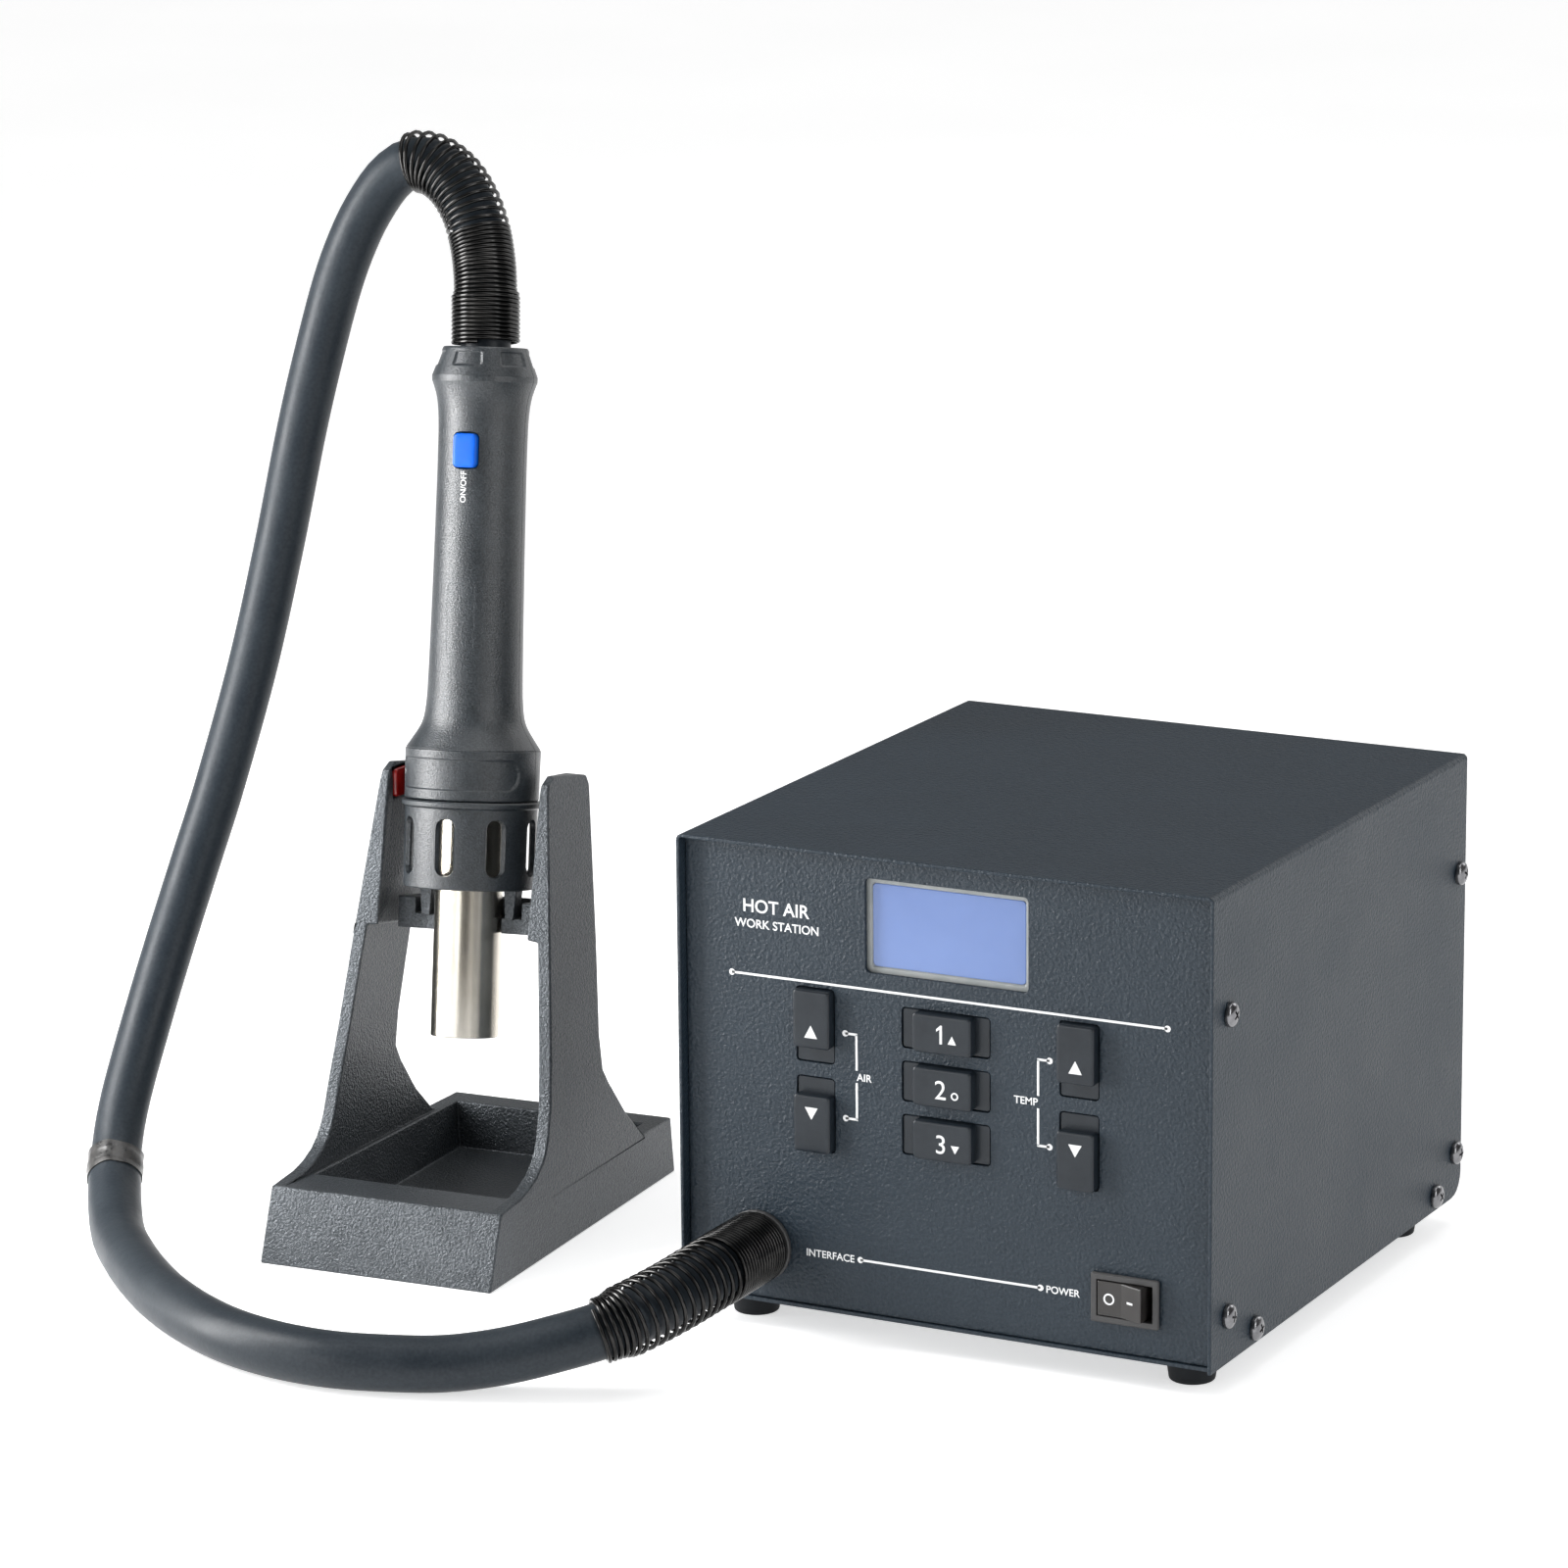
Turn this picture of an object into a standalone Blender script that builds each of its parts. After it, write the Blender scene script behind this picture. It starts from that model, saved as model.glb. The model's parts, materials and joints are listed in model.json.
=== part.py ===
"""Hot air station: a cabinet with a keypad, a display and a blower, a die-cast stand, and the
handpiece that rests in the stand, joined to the cabinet by an air hose. Metres, +Z up.

Three empties carry the parts: cabinet_frame has its origin at the cover's front left bottom
corner, stand_frame at the middle of the stand's front bottom edge, and handpiece_frame at the
open end of the heater tube with +Z along the handpiece. The whole stands on z = 0.
"""

import math

import bmesh
import bpy
from mathutils import Matrix, Quaternion, Vector

GAP = 0.0003
TAU = 2 * math.pi

# Cabinet
CASE_W = 0.188
CASE_D = 0.211
CASE_H = 0.1542
FOOT_H = 0.010
SHEET = 0.0012
BEND_R = 0.002
CORNER_R = 0.008
TRAY_SHEET = 0.0012
PANEL_Y = 0.004
PANEL_T = 0.0015
REAR_Y = 0.2083
FLANGE_DEPTH = 0.0145
SCREW_HOLE_R = 0.0022
SCREW_SPOTS = ((0.0123, 0.1142), (0.0123, 0.0160), (0.0342, 0.0055),
               (0.2046, 0.1142), (0.2046, 0.0160), (0.1872, 0.0055))
FOOT_INSET_X = 0.016
FOOT_SPOTS = tuple((x, y) for y in (0.022, 0.189) for x in (FOOT_INSET_X, CASE_W - FOOT_INSET_X))

# Front panel
DISPLAY_W = 0.0572
DISPLAY_H = 0.0310
DISPLAY_X = 0.0945
DISPLAY_Z = 0.1305
KEY_TALL = (0.0138, 0.0249)
KEY_WIDE = (0.0312, 0.0135)
KEY_PROUD = 0.0034
KEY_TRAVEL = 0.0012
AIR_X = 0.0479
TEMP_X = 0.1408
UP_Z = 0.09535
DOWN_Z = 0.06575
NUMBER_X = 0.0943
NUMBER_Z = (0.09855, 0.0809, 0.06325)
ROCKER_X = 0.1573
ROCKER_Z = 0.0193
ROCKER_PIVOT_Y = 0.0070
ROCKER_TILT = math.radians(10)
SOCKET_X = 0.0266
SOCKET_Z = 0.0188
INLET_X = 0.150
INLET_Z = 0.030

# Blower, inside the cabinet
BLOWER_X = 0.0602
BLOWER_Y = 0.118
BLOWER_R = 0.042
BLOWER_TOP = 0.052

# Stand
STAND_PLACE = (-0.1135, -0.00665, -FOOT_H)
STAND_YAW = math.radians(3.7)
BASE_TOP = 0.0247
RIM_REAR = 0.0205
MAGNET = (-0.0283, 0.0808, 0.1503)

# Handpiece, along its own axis from the open end of the heater tube
HAND_FOOT = (0.0018, 0.0664, 0.0680)
HAND_AXIS = (-0.0384, 0.1944, 1.0)
HAND_TURN = math.radians(4)
TUBE_R = 0.0116
TUBE_FOOT = -0.0012
TUBE_TOP = 0.088
SKIRT_BOTTOM = 0.0496
SKIRT_TOP = 0.0794
SKIRT_R = 0.0224
SHELL_BOTTOM = 0.0797
SHELL_TOP = 0.2329
SHELL_T = 0.0022
BUTTON_Z = 0.1978
BUTTON_W = 0.0086
BUTTON_H = 0.0116

# Hose
HOSE_R = 0.0091
HOSE_THIN_R = 0.0086
HOSE_STEP = 0.017
SPRING_R = 0.0119
GUARD_R = 0.0109
SPRING_LENGTH = 0.078
GUARD_LENGTH = 0.079
# The route's own points in cabinet_frame, in millimetres: out of the socket, down on to the
# bench in front of the stand, round its left side, up, and over into the handpiece.
HOSE_ROUTE = (
    (26.6, 1.9, 18.8), (26.6, -6, 18.8), (26.2, -15, 18.5), (24.7, -30, 17.4), (20.6, -50, 14.7),
    (12.5, -69, 11), (-1, -78.5, 6.6), (-17, -86.5, 2.2), (-33.5, -94, -0.4),
    (-50, -100.5, -0.8), (-69, -105.5, -0.8), (-89, -105.3, -0.8), (-109.5, -100.3, -0.8),
    (-129.6, -90.7, -0.8), (-149.6, -77.6, -0.8), (-167.5, -62.7, -0.8), (-184.6, -46.1, -0.8),
    (-200.5, -28.8, 0.2), (-214.2, -10, 6.5), (-222.8, 5, 17.5), (-226.6, 17, 31.8),
    (-227.4, 33, 55.6), (-225.3, 46, 80.7), (-221.6, 57.5, 106.5), (-217, 67.5, 132.5),
    (-210.2, 80, 172.5), (-204.2, 89.5, 212.8), (-198.2, 97, 253.3), (-193.2, 102, 280.2),
    (-187.2, 106, 305), (-181.7, 109.2, 321), (-176.8, 112, 331.4), (-170.8, 114.5, 340.2),
    (-163.5, 116.5, 345.5), (-155.2, 117.6, 345.4), (-146.6, 117.2, 340.4), (-139.8, 115.6, 332.6),
    (-135.4, 113.5, 324.5), (-132.2, 111, 315.5), (-129.8, 107.8, 304.8),
)
# The hose is two pipes, taped together: a thick one from the cabinet, a thinner one above it.
TAPE_AT = 0.4435
TAPE_W = 0.010
# Where the length that the handpiece carries begins.
HOSE_SPLIT = 0.78

MADE = {}
FRAMES = {}
CORD_NODES = ("hose_lower", "hose_middle", "hose_upper", "spring_station", "spring_handle",
              "hose_tape")


def clear_scene():
    for obj in list(bpy.data.objects):
        bpy.data.objects.remove(obj, do_unlink=True)


# ---- materials ----------------------------------------------------------------------------

COLOURS = {
    "powder_coat": ((0.045, 0.055, 0.068), 0.55, 0.0),
    "black_screw": ((0.02, 0.02, 0.022), 0.25, 0.8),
    "rubber": ((0.025, 0.027, 0.030), 0.70, 0.0),
    "key_plastic": ((0.060, 0.064, 0.070), 0.45, 0.0),
    "display_frame": ((0.42, 0.41, 0.38), 0.50, 0.0),
    "display_glass": ((0.25, 0.38, 0.72), 0.12, 0.0),
    "circuit_board": ((0.03, 0.16, 0.07), 0.45, 0.0),
    "switch_plastic": ((0.030, 0.028, 0.028), 0.40, 0.0),
    "inlet_plastic": ((0.015, 0.015, 0.016), 0.35, 0.0),
    "blower_plastic": ((0.05, 0.05, 0.055), 0.45, 0.0),
    "rotor_plastic": ((0.55, 0.55, 0.53), 0.50, 0.0),
    "silicone": ((0.62, 0.60, 0.56), 0.60, 0.0),
    "iron_core": ((0.20, 0.19, 0.18), 0.45, 0.9),
    "stand_casting": ((0.085, 0.090, 0.096), 0.60, 0.3),
    "red_insert": ((0.42, 0.015, 0.012), 0.25, 0.0),
    "handle_plastic": ((0.070, 0.074, 0.080), 0.50, 0.0),
    "blue_button": ((0.0, 0.13, 0.80), 0.30, 0.0),
    "stainless": ((0.72, 0.68, 0.62), 0.25, 1.0),
    "mica": ((0.48, 0.38, 0.24), 0.50, 0.0),
    "ceramic": ((0.80, 0.77, 0.70), 0.70, 0.0),
    "hose_rubber": ((0.075, 0.085, 0.095), 0.55, 0.0),
    "spring_wire": ((0.05, 0.05, 0.052), 0.22, 1.0),
    "tape": ((0.045, 0.042, 0.040), 0.50, 0.0),
}


def material(name):
    found = bpy.data.materials.get(name)
    if found:
        return found
    colour, roughness, metallic = COLOURS[name]
    made = bpy.data.materials.new(name)
    made.use_nodes = True
    shader = made.node_tree.nodes["Principled BSDF"]
    shader.inputs["Base Color"].default_value = (*colour, 1)
    shader.inputs["Roughness"].default_value = roughness
    shader.inputs["Metallic"].default_value = metallic
    made.diffuse_color = (*colour, 1)
    return made


# ---- modelling helpers --------------------------------------------------------------------

def empty(name, parent=None, place=(0, 0, 0), turn=None):
    made = bpy.data.objects.new(name, None)
    bpy.context.scene.collection.objects.link(made)
    made.parent = parent
    made.location = place
    if turn is not None:
        made.rotation_mode = "QUATERNION"
        made.rotation_quaternion = turn
    return made


def add(name, bm, finish, parent, smooth=None):
    """Makes a node from a bmesh. smooth is the edge angle, in degrees, that stays sharp."""
    bmesh.ops.recalc_face_normals(bm, faces=bm.faces)
    mesh = bpy.data.meshes.new(name)
    bm.to_mesh(mesh)
    bm.free()
    if smooth:
        mesh.shade_smooth()
        mesh.set_sharp_from_angle(angle=math.radians(smooth))
    made = bpy.data.objects.new(name, mesh)
    bpy.context.scene.collection.objects.link(made)
    made.parent = parent
    made.data.materials.append(material(finish))
    MADE[name] = made
    return made


def box(low, high, bm=None):
    bm = bm or bmesh.new()
    centre = (Vector(low) + Vector(high)) / 2
    size = Vector(high) - Vector(low)
    matrix = Matrix.Translation(centre) @ Matrix.Diagonal((*size, 1))
    bmesh.ops.create_cube(bm, size=1, matrix=matrix)
    return bm


def prism(outline, axis, low, high, bm=None):
    """Extrudes a flat outline along an axis. The outline's two values are the other two axes."""
    bm = bm or bmesh.new()
    order = {"x": (2, 0, 1), "y": (0, 2, 1), "z": (0, 1, 2)}[axis]

    def point(u, v, w):
        values = (u, v, w)
        return tuple(values[i] for i in order)

    bottom = [bm.verts.new(point(u, v, low)) for u, v in outline]
    top = [bm.verts.new(point(u, v, high)) for u, v in outline]
    bm.faces.new(bottom)
    bm.faces.new(reversed(top))
    for i in range(len(outline)):
        j = (i + 1) % len(outline)
        bm.faces.new((bottom[i], bottom[j], top[j], top[i]))
    return bm


def rod(start, end, radius, sides=24, bm=None):
    bm = bm or bmesh.new()
    start, end = Vector(start), Vector(end)
    along = end - start
    turn = along.to_track_quat("Z", "Y").to_matrix().to_4x4()
    matrix = Matrix.Translation((start + end) / 2) @ turn
    bmesh.ops.create_cone(bm, cap_ends=True, segments=sides, radius1=radius, radius2=radius,
                          depth=along.length, matrix=matrix)
    return bm


def turned(profile, sides, sweep=TAU, start=0.0, bm=None):
    """Revolves a closed (radius, height) outline about Z, whole or as a part with end caps."""
    bm = bm or bmesh.new()
    whole = math.isclose(sweep, TAU)
    count = sides if whole else sides + 1
    rings = []
    for k in range(count):
        angle = start + sweep * k / sides
        ring = []
        for radius, height in profile:
            if radius < 1e-7 and rings and whole:
                ring.append(rings[0][len(ring)])
                continue
            place = (radius * math.cos(angle), radius * math.sin(angle), height)
            ring.append(bm.verts.new(place))
        rings.append(ring)
    for k in range(sides):
        near, far = rings[k], rings[(k + 1) % count]
        for i in range(len(profile)):
            j = (i + 1) % len(profile)
            corners = []
            for vert in (near[i], near[j], far[j], far[i]):
                if vert not in corners:
                    corners.append(vert)
            if len(corners) > 2:
                bm.faces.new(corners)
    if not whole:
        bm.faces.new(rings[0])
        bm.faces.new(rings[-1])
    return bm


def arc(centre, radius, start, end, steps):
    """Points of an arc, angles in degrees, both ends included."""
    points = []
    for k in range(steps + 1):
        angle = math.radians(start + (end - start) * k / steps)
        points.append((centre[0] + radius * math.cos(angle), centre[1] + radius * math.sin(angle)))
    return points


def rounded(width, height, radius, centre=(0, 0), steps=2):
    """Outline of a rectangle with round corners."""
    outline = []
    for sx, sy, begin in ((1, 1, 0), (-1, 1, 90), (-1, -1, 180), (1, -1, 270)):
        middle = (centre[0] + sx * (width / 2 - radius), centre[1] + sy * (height / 2 - radius))
        outline += arc(middle, radius, begin, begin + 90, steps)
    return outline


def loft(sections, bm=None):
    """Joins loops of the same length, in order, and closes both ends."""
    bm = bm or bmesh.new()
    rings = [[bm.verts.new(p) for p in section] for section in sections]
    for low, high in zip(rings, rings[1:]):
        for i in range(len(low)):
            j = (i + 1) % len(low)
            bm.faces.new((low[i], low[j], high[j], high[i]))
    bm.faces.new(reversed(rings[0]))
    bm.faces.new(rings[-1])
    return bm


def boolean(target, bm, operation="DIFFERENCE"):
    """Cuts or joins a bmesh, given in the target's own space, and keeps the result."""
    bmesh.ops.recalc_face_normals(bm, faces=bm.faces)
    mesh = bpy.data.meshes.new("tool")
    bm.to_mesh(mesh)
    bm.free()
    tool = bpy.data.objects.new("tool", mesh)
    bpy.context.scene.collection.objects.link(tool)
    tool.parent = target.parent
    tool.hide_render = True
    tool.display_type = "WIRE"
    modifier = target.modifiers.new("boolean", "BOOLEAN")
    modifier.operation = operation
    modifier.object = tool
    bpy.context.view_layer.update()
    bpy.context.view_layer.objects.active = target
    bpy.ops.object.modifier_apply(modifier=modifier.name)
    bpy.data.objects.remove(tool, do_unlink=True)
    bpy.data.meshes.remove(mesh)
    return target


def bevel(target, width, segments=2, angle=40):
    modifier = target.modifiers.new("bevel", "BEVEL")
    modifier.width = width
    modifier.segments = segments
    modifier.limit_method = "ANGLE"
    modifier.angle_limit = math.radians(angle)
    modifier.use_clamp_overlap = True
    return modifier


# ---- cabinet ------------------------------------------------------------------------------

def cover(parent):
    inner_w = CASE_W - 2 * SHEET
    inner_r = BEND_R - SHEET
    outer_left = arc((BEND_R, CASE_H - BEND_R), BEND_R, 180, 90, 4)
    outer_right = arc((CASE_W - BEND_R, CASE_H - BEND_R), BEND_R, 90, 0, 4)
    inner_right = arc((CASE_W - BEND_R, CASE_H - BEND_R), inner_r, 0, 90, 4)
    inner_left = arc((BEND_R, CASE_H - BEND_R), inner_r, 90, 180, 4)
    outline = [(0, 0), *outer_left, *outer_right, (CASE_W, 0), (SHEET + inner_w, 0)]
    outline += [*inner_right, *inner_left, (SHEET, 0)]
    made = add("cover", prism(outline, "y", 0, CASE_D), "powder_coat", parent, smooth=30)
    tools = bmesh.new()
    for y, z in SCREW_SPOTS:
        rod((-0.01, y, z), (CASE_W + 0.01, y, z), SCREW_HOLE_R, 12, tools)
    round_end = arc((CASE_D - CORNER_R, CORNER_R), CORNER_R, 0, -90, 5)
    corner = [*round_end, (CASE_D - CORNER_R, -0.005), (CASE_D + 0.005, -0.005)]
    corner += [(CASE_D + 0.005, CORNER_R)]
    prism(corner, "x", -0.01, CASE_W + 0.01, tools)
    return boolean(made, tools)


def base_tray(parent):
    left = SHEET + GAP
    right = CASE_W - left
    flange = 0.013
    t = TRAY_SHEET
    outline = [(left, 0), (right, 0), (right, flange), (right - t, flange), (right - t, t),
               (left + t, t), (left + t, flange), (left, flange)]
    made = add("base_tray", prism(outline, "y", 0.003, REAR_Y - GAP), "powder_coat", parent)
    tools = box((-0.01, -0.01, t), (CASE_W + 0.01, 0.024, 0.03))
    box((-0.01, 0.194, t), (CASE_W + 0.01, CASE_D, 0.03), tools)
    for y, z in SCREW_SPOTS:
        if z < flange:
            rod((-0.01, y, z), (CASE_W + 0.01, y, z), SCREW_HOLE_R, 12, tools)
    return boolean(made, tools)


def panel_sheet(name, parent, front, turn_back):
    """A bent sheet: the flat panel at y = front, and a flange along each side, turned back (+y)
    or forward (-y), that the cover's screws go through."""
    left = SHEET + GAP
    right = CASE_W - left
    t = PANEL_T
    if turn_back:
        near, far = front, front + t
        end = far + FLANGE_DEPTH
    else:
        near, far = front + t, front
        end = front - 0.0115
    outline = [(left, near), (right, near), (right, end), (right - t, end), (right - t, far),
               (left + t, far), (left + t, end), (left, end)]
    made = add(name, prism(outline, "z", TRAY_SHEET + GAP, CASE_H - SHEET - GAP), "powder_coat",
               parent)
    tools = bmesh.new()
    low, high = sorted((near, end))
    for y, z in SCREW_SPOTS:
        if low < y < high:
            rod((-0.01, y, z), (CASE_W + 0.01, y, z), SCREW_HOLE_R, 12, tools)
    return boolean(made, tools)


def front_panel(parent):
    made = panel_sheet("front_panel", parent, PANEL_Y, True)
    tools = bmesh.new()
    low, high = PANEL_Y - 0.002, PANEL_Y + 0.004

    def opening(outline):
        prism(outline, "y", low, high, tools)

    opening(rounded(DISPLAY_W, DISPLAY_H, 0.0015, (DISPLAY_X, DISPLAY_Z)))
    for x in (AIR_X, TEMP_X):
        for z in (UP_Z, DOWN_Z):
            opening(rounded(*KEY_TALL, 0.0012, (x, z)))
    for z in NUMBER_Z:
        opening(rounded(*KEY_WIDE, 0.0012, (NUMBER_X, z)))
    opening(rounded(0.0214, 0.0142, 0.0006, (ROCKER_X, ROCKER_Z)))
    rod((SOCKET_X, low, SOCKET_Z), (SOCKET_X, high, SOCKET_Z), 0.0105, 24, tools)
    return boolean(made, tools)


def rear_panel(parent):
    made = panel_sheet("rear_panel", parent, REAR_Y, False)
    tools = bmesh.new()
    low, high = REAR_Y - 0.002, REAR_Y + 0.004
    prism(rounded(0.0276, 0.0206, 0.001, (INLET_X, INLET_Z)), "y", low, high, tools)
    for row in range(2):
        for column in range(7):
            x = 0.040 + column * 0.018
            z = 0.086 + row * 0.034
            prism(rounded(0.005, 0.026, 0.0024, (x, z)), "y", low, high, tools)
    return boolean(made, tools)


def foot(name, parent, x, y):
    profile = [(0, -0.0055), (0.0035, -0.0055), (0.0035, -FOOT_H), (0.0072, -FOOT_H),
               (0.0080, -FOOT_H + 0.0008), (0.0090, -GAP), (0, -GAP)]
    made = add(name, turned(profile, 18), "rubber", parent, smooth=35)
    made.location = (x, y, 0)
    return made


def screw_mesh():
    """A pan head with a cross recess, its shank along -Z. z = 0 is the face under the head."""
    head_r, head_h, shank_r, shank = 0.0040, 0.0025, 0.0019, 0.0055
    profile = [(0, -shank), (shank_r, -shank), (shank_r, 0), (head_r, 0), (head_r, head_h * 0.5),
               (head_r * 0.65, head_h), (0, head_h)]
    made = add("screw", turned(profile, 14), "black_screw", None, smooth=35)
    arm, half, depth = 0.0019, 0.00045, 0.0013
    low, high = head_h - depth, head_h + 0.001
    cross = [(half, half), (half, arm), (-half, arm), (-half, half), (-arm, half), (-arm, -half),
             (-half, -half), (-half, -arm), (half, -arm), (half, -half), (arm, -half), (arm, half)]
    boolean(made, prism(cross, "z", low, high))
    mesh = made.data
    bpy.data.objects.remove(made, do_unlink=True)
    del MADE["screw"]
    return mesh


def cover_screws(parent):
    mesh = screw_mesh()
    for side, sign, x in (("left", -1, -GAP), ("right", 1, CASE_W + GAP)):
        for number, (y, z) in enumerate(SCREW_SPOTS, 1):
            name = f"screw_{side}_{number}"
            made = bpy.data.objects.new(name, mesh)
            bpy.context.scene.collection.objects.link(made)
            made.parent = parent
            made.location = (x, y, z)
            made.rotation_mode = "ZYX"
            made.rotation_euler = (0, sign * math.pi / 2, math.radians(25 * number))
            MADE[name] = made


def display(parent):
    back = PANEL_Y + PANEL_T + GAP
    outline = rounded(0.064, 0.037, 0.002, (DISPLAY_X, DISPLAY_Z))
    frame = add("display_frame", prism(outline, "y", back, back + 0.0030), "display_frame", parent)
    window = [rounded(0.0545, 0.0280, 0.0008, (DISPLAY_X, DISPLAY_Z)),
              rounded(0.0510, 0.0245, 0.0004, (DISPLAY_X, DISPLAY_Z))]
    sections = []
    for outline, y in ((window[0], back - 0.001), (window[0], back), (window[1], back + 0.0026),
                       (window[1], back + 0.005)):
        sections.append([(x, y, z) for x, z in outline])
    boolean(frame, loft(sections))
    low = back + 0.0030 + GAP
    glass = add("lcd_module", box((DISPLAY_X - 0.031, low, DISPLAY_Z - 0.0175),
                                  (DISPLAY_X + 0.031, low + 0.0028, DISPLAY_Z + 0.0175)),
                "display_glass", parent)
    return frame, glass


def key(name, parent, centre, size, block_low, block_high):
    """A key: a lip behind the panel, a plate in its opening, and the raised block on it.
    block_low and block_high are the block's corners from the opening's centre, as (x, z)."""
    x, z = centre
    half_w, half_h = size[0] / 2 - GAP, size[1] / 2 - GAP
    made = add(name, prism(rounded(2 * half_w, 2 * half_h, 0.0010), "y", 0.0004, 0.0030),
               "key_plastic", parent, smooth=35)
    lip_front = PANEL_T + GAP
    lip = box((-half_w - 0.0012, lip_front, -half_h - 0.0010),
              (half_w + 0.0012, lip_front + 0.0015, half_h + 0.0010))
    boolean(made, lip, "UNION")
    middle = ((block_low[0] + block_high[0]) / 2, (block_low[1] + block_high[1]) / 2)
    width = block_high[0] - block_low[0]
    height = block_high[1] - block_low[1]
    rim = 0.0005
    sections = []
    for y, shrink in ((0.0010, 0), (-KEY_PROUD + rim, 0), (-KEY_PROUD, rim)):
        outline = rounded(width - 2 * shrink, height - 2 * shrink, 0.0012 - shrink, middle)
        sections.append([(u, y, v) for u, v in outline])
    boolean(made, loft(sections), "UNION")
    made.location = (x, PANEL_Y, z)
    return made


def keypad(parent):
    half_w, half_h = KEY_TALL[0] / 2 - 0.0004, KEY_TALL[1] / 2 - 0.0004
    clear = 0.0051
    for label, x in (("air", AIR_X), ("temp", TEMP_X)):
        key(f"key_{label}_up", parent, (x, UP_Z), KEY_TALL,
            (-half_w, -half_h + clear), (half_w, half_h))
        key(f"key_{label}_down", parent, (x, DOWN_Z), KEY_TALL,
            (-half_w, -half_h), (half_w, half_h - clear))
    half_w, half_h = 0.0103, KEY_WIDE[1] / 2 - 0.0004
    for number, z in enumerate(NUMBER_Z, 1):
        key(f"key_{number}", parent, (NUMBER_X, z), KEY_WIDE, (-half_w, -half_h), (half_w, half_h))


def control_board(parent):
    front, back = 0.0124, 0.0140
    made = add("control_board", box((0.032, front, 0.048), (0.157, back, 0.152)),
               "circuit_board", parent)
    switches = bmesh.new()
    spots = [(x, z) for x in (AIR_X, TEMP_X) for z in (UP_Z, DOWN_Z)]
    spots += [(NUMBER_X, z) for z in NUMBER_Z]
    for x, z in spots:
        box((x - 0.003, 0.0090, z - 0.003), (x + 0.003, front + 0.0004, z + 0.003), switches)
    return boolean(made, switches, "UNION")


def power_rocker(parent):
    """The switch's housing, and its rocker on an upright pivot. The rocker rests with the O
    end pressed in. Its origin is on the pivot."""
    bezel_w, bezel_h = 0.0236, 0.0164
    front, seat = PANEL_Y - 0.0019, PANEL_Y - GAP
    outline = rounded(bezel_w, bezel_h, 0.0006, (ROCKER_X, ROCKER_Z))
    housing = add("rocker_housing", prism(outline, "y", front, seat), "switch_plastic", parent)
    bevel(housing, 0.0004, 1)
    bpy.context.view_layer.objects.active = housing
    bpy.ops.object.modifier_apply(modifier="bevel")
    body = prism(rounded(0.0206, 0.0134, 0.0005, (ROCKER_X, ROCKER_Z)), "y", seat - 0.0005,
                 0.0215)
    boolean(housing, body, "UNION")
    well = box((ROCKER_X - 0.0096, front - 0.001, ROCKER_Z - 0.0060),
               (ROCKER_X + 0.0096, 0.0165, ROCKER_Z + 0.0060))
    boolean(housing, well)
    half, low, crest, dip = 0.0083, -0.0035, 0.0065, 0.0052
    profile = [(-half, crest), (0, dip), (half, crest), (half - 0.0016, low), (0, low - 0.0015),
               (-half + 0.0016, low)]
    outline = [(u, -v) for u, v in profile]
    height = 0.0057
    rocker = add("rocker", prism(outline, "z", -height, height), "switch_plastic", parent)
    bevel(rocker, 0.0004, 2, 30)
    rocker.location = (ROCKER_X, ROCKER_PIVOT_Y, ROCKER_Z)
    rocker.rotation_euler = (0, 0, -ROCKER_TILT)
    return housing, rocker


def power_inlet(parent):
    """A snap-in mains inlet in the rear panel: flange, well and three blades."""
    seat = REAR_Y + PANEL_T + GAP
    face = seat + 0.0022
    outline = rounded(0.0310, 0.0245, 0.0015, (INLET_X, INLET_Z))
    made = add("power_inlet", prism(outline, "y", seat, face), "inlet_plastic", parent)
    boolean(made, box((INLET_X - 0.0134, 0.188, INLET_Z - 0.0099),
                      (INLET_X + 0.0134, seat + 0.0005, INLET_Z + 0.0099)), "UNION")
    w, h, chamfer = 0.0120, 0.0080, 0.0045
    well = [(-w, -h), (w, -h), (w, h - chamfer), (w - chamfer, h), (chamfer - w, h),
            (-w, h - chamfer)]
    floor = 0.1945
    well = [(INLET_X + u, INLET_Z + v) for u, v in well]
    boolean(made, prism(well, "y", floor, face + 0.001))
    blades = bmesh.new()
    for dx, dz in ((-0.007, -0.002), (0, 0.002), (0.007, -0.002)):
        x, z = INLET_X + dx, INLET_Z + dz
        box((x - 0.001, floor - 0.001, z - 0.0022), (x + 0.001, face - 0.004, z + 0.0022), blades)
    return boolean(made, blades, "UNION")


def hose_socket(parent):
    """The bush that the hose's end butts on: a flange in front of the panel, a neck through it,
    and the bore for the air. Turned about its own axis, then laid along Y."""
    flange, seat, end = 0.0, 0.0015, 0.0115
    profile = [(0.0068, flange), (0.0116, flange), (0.0120, flange + 0.0004), (0.0120, seat),
               (0.0100, seat), (0.0100, end), (0.0068, end)]
    made = add("hose_socket", turned(profile, 24), "black_screw", parent, smooth=35)
    made.location = (SOCKET_X, PANEL_Y - GAP - seat, SOCKET_Z)
    made.rotation_euler = (-math.pi / 2, 0, 0)
    return made


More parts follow.
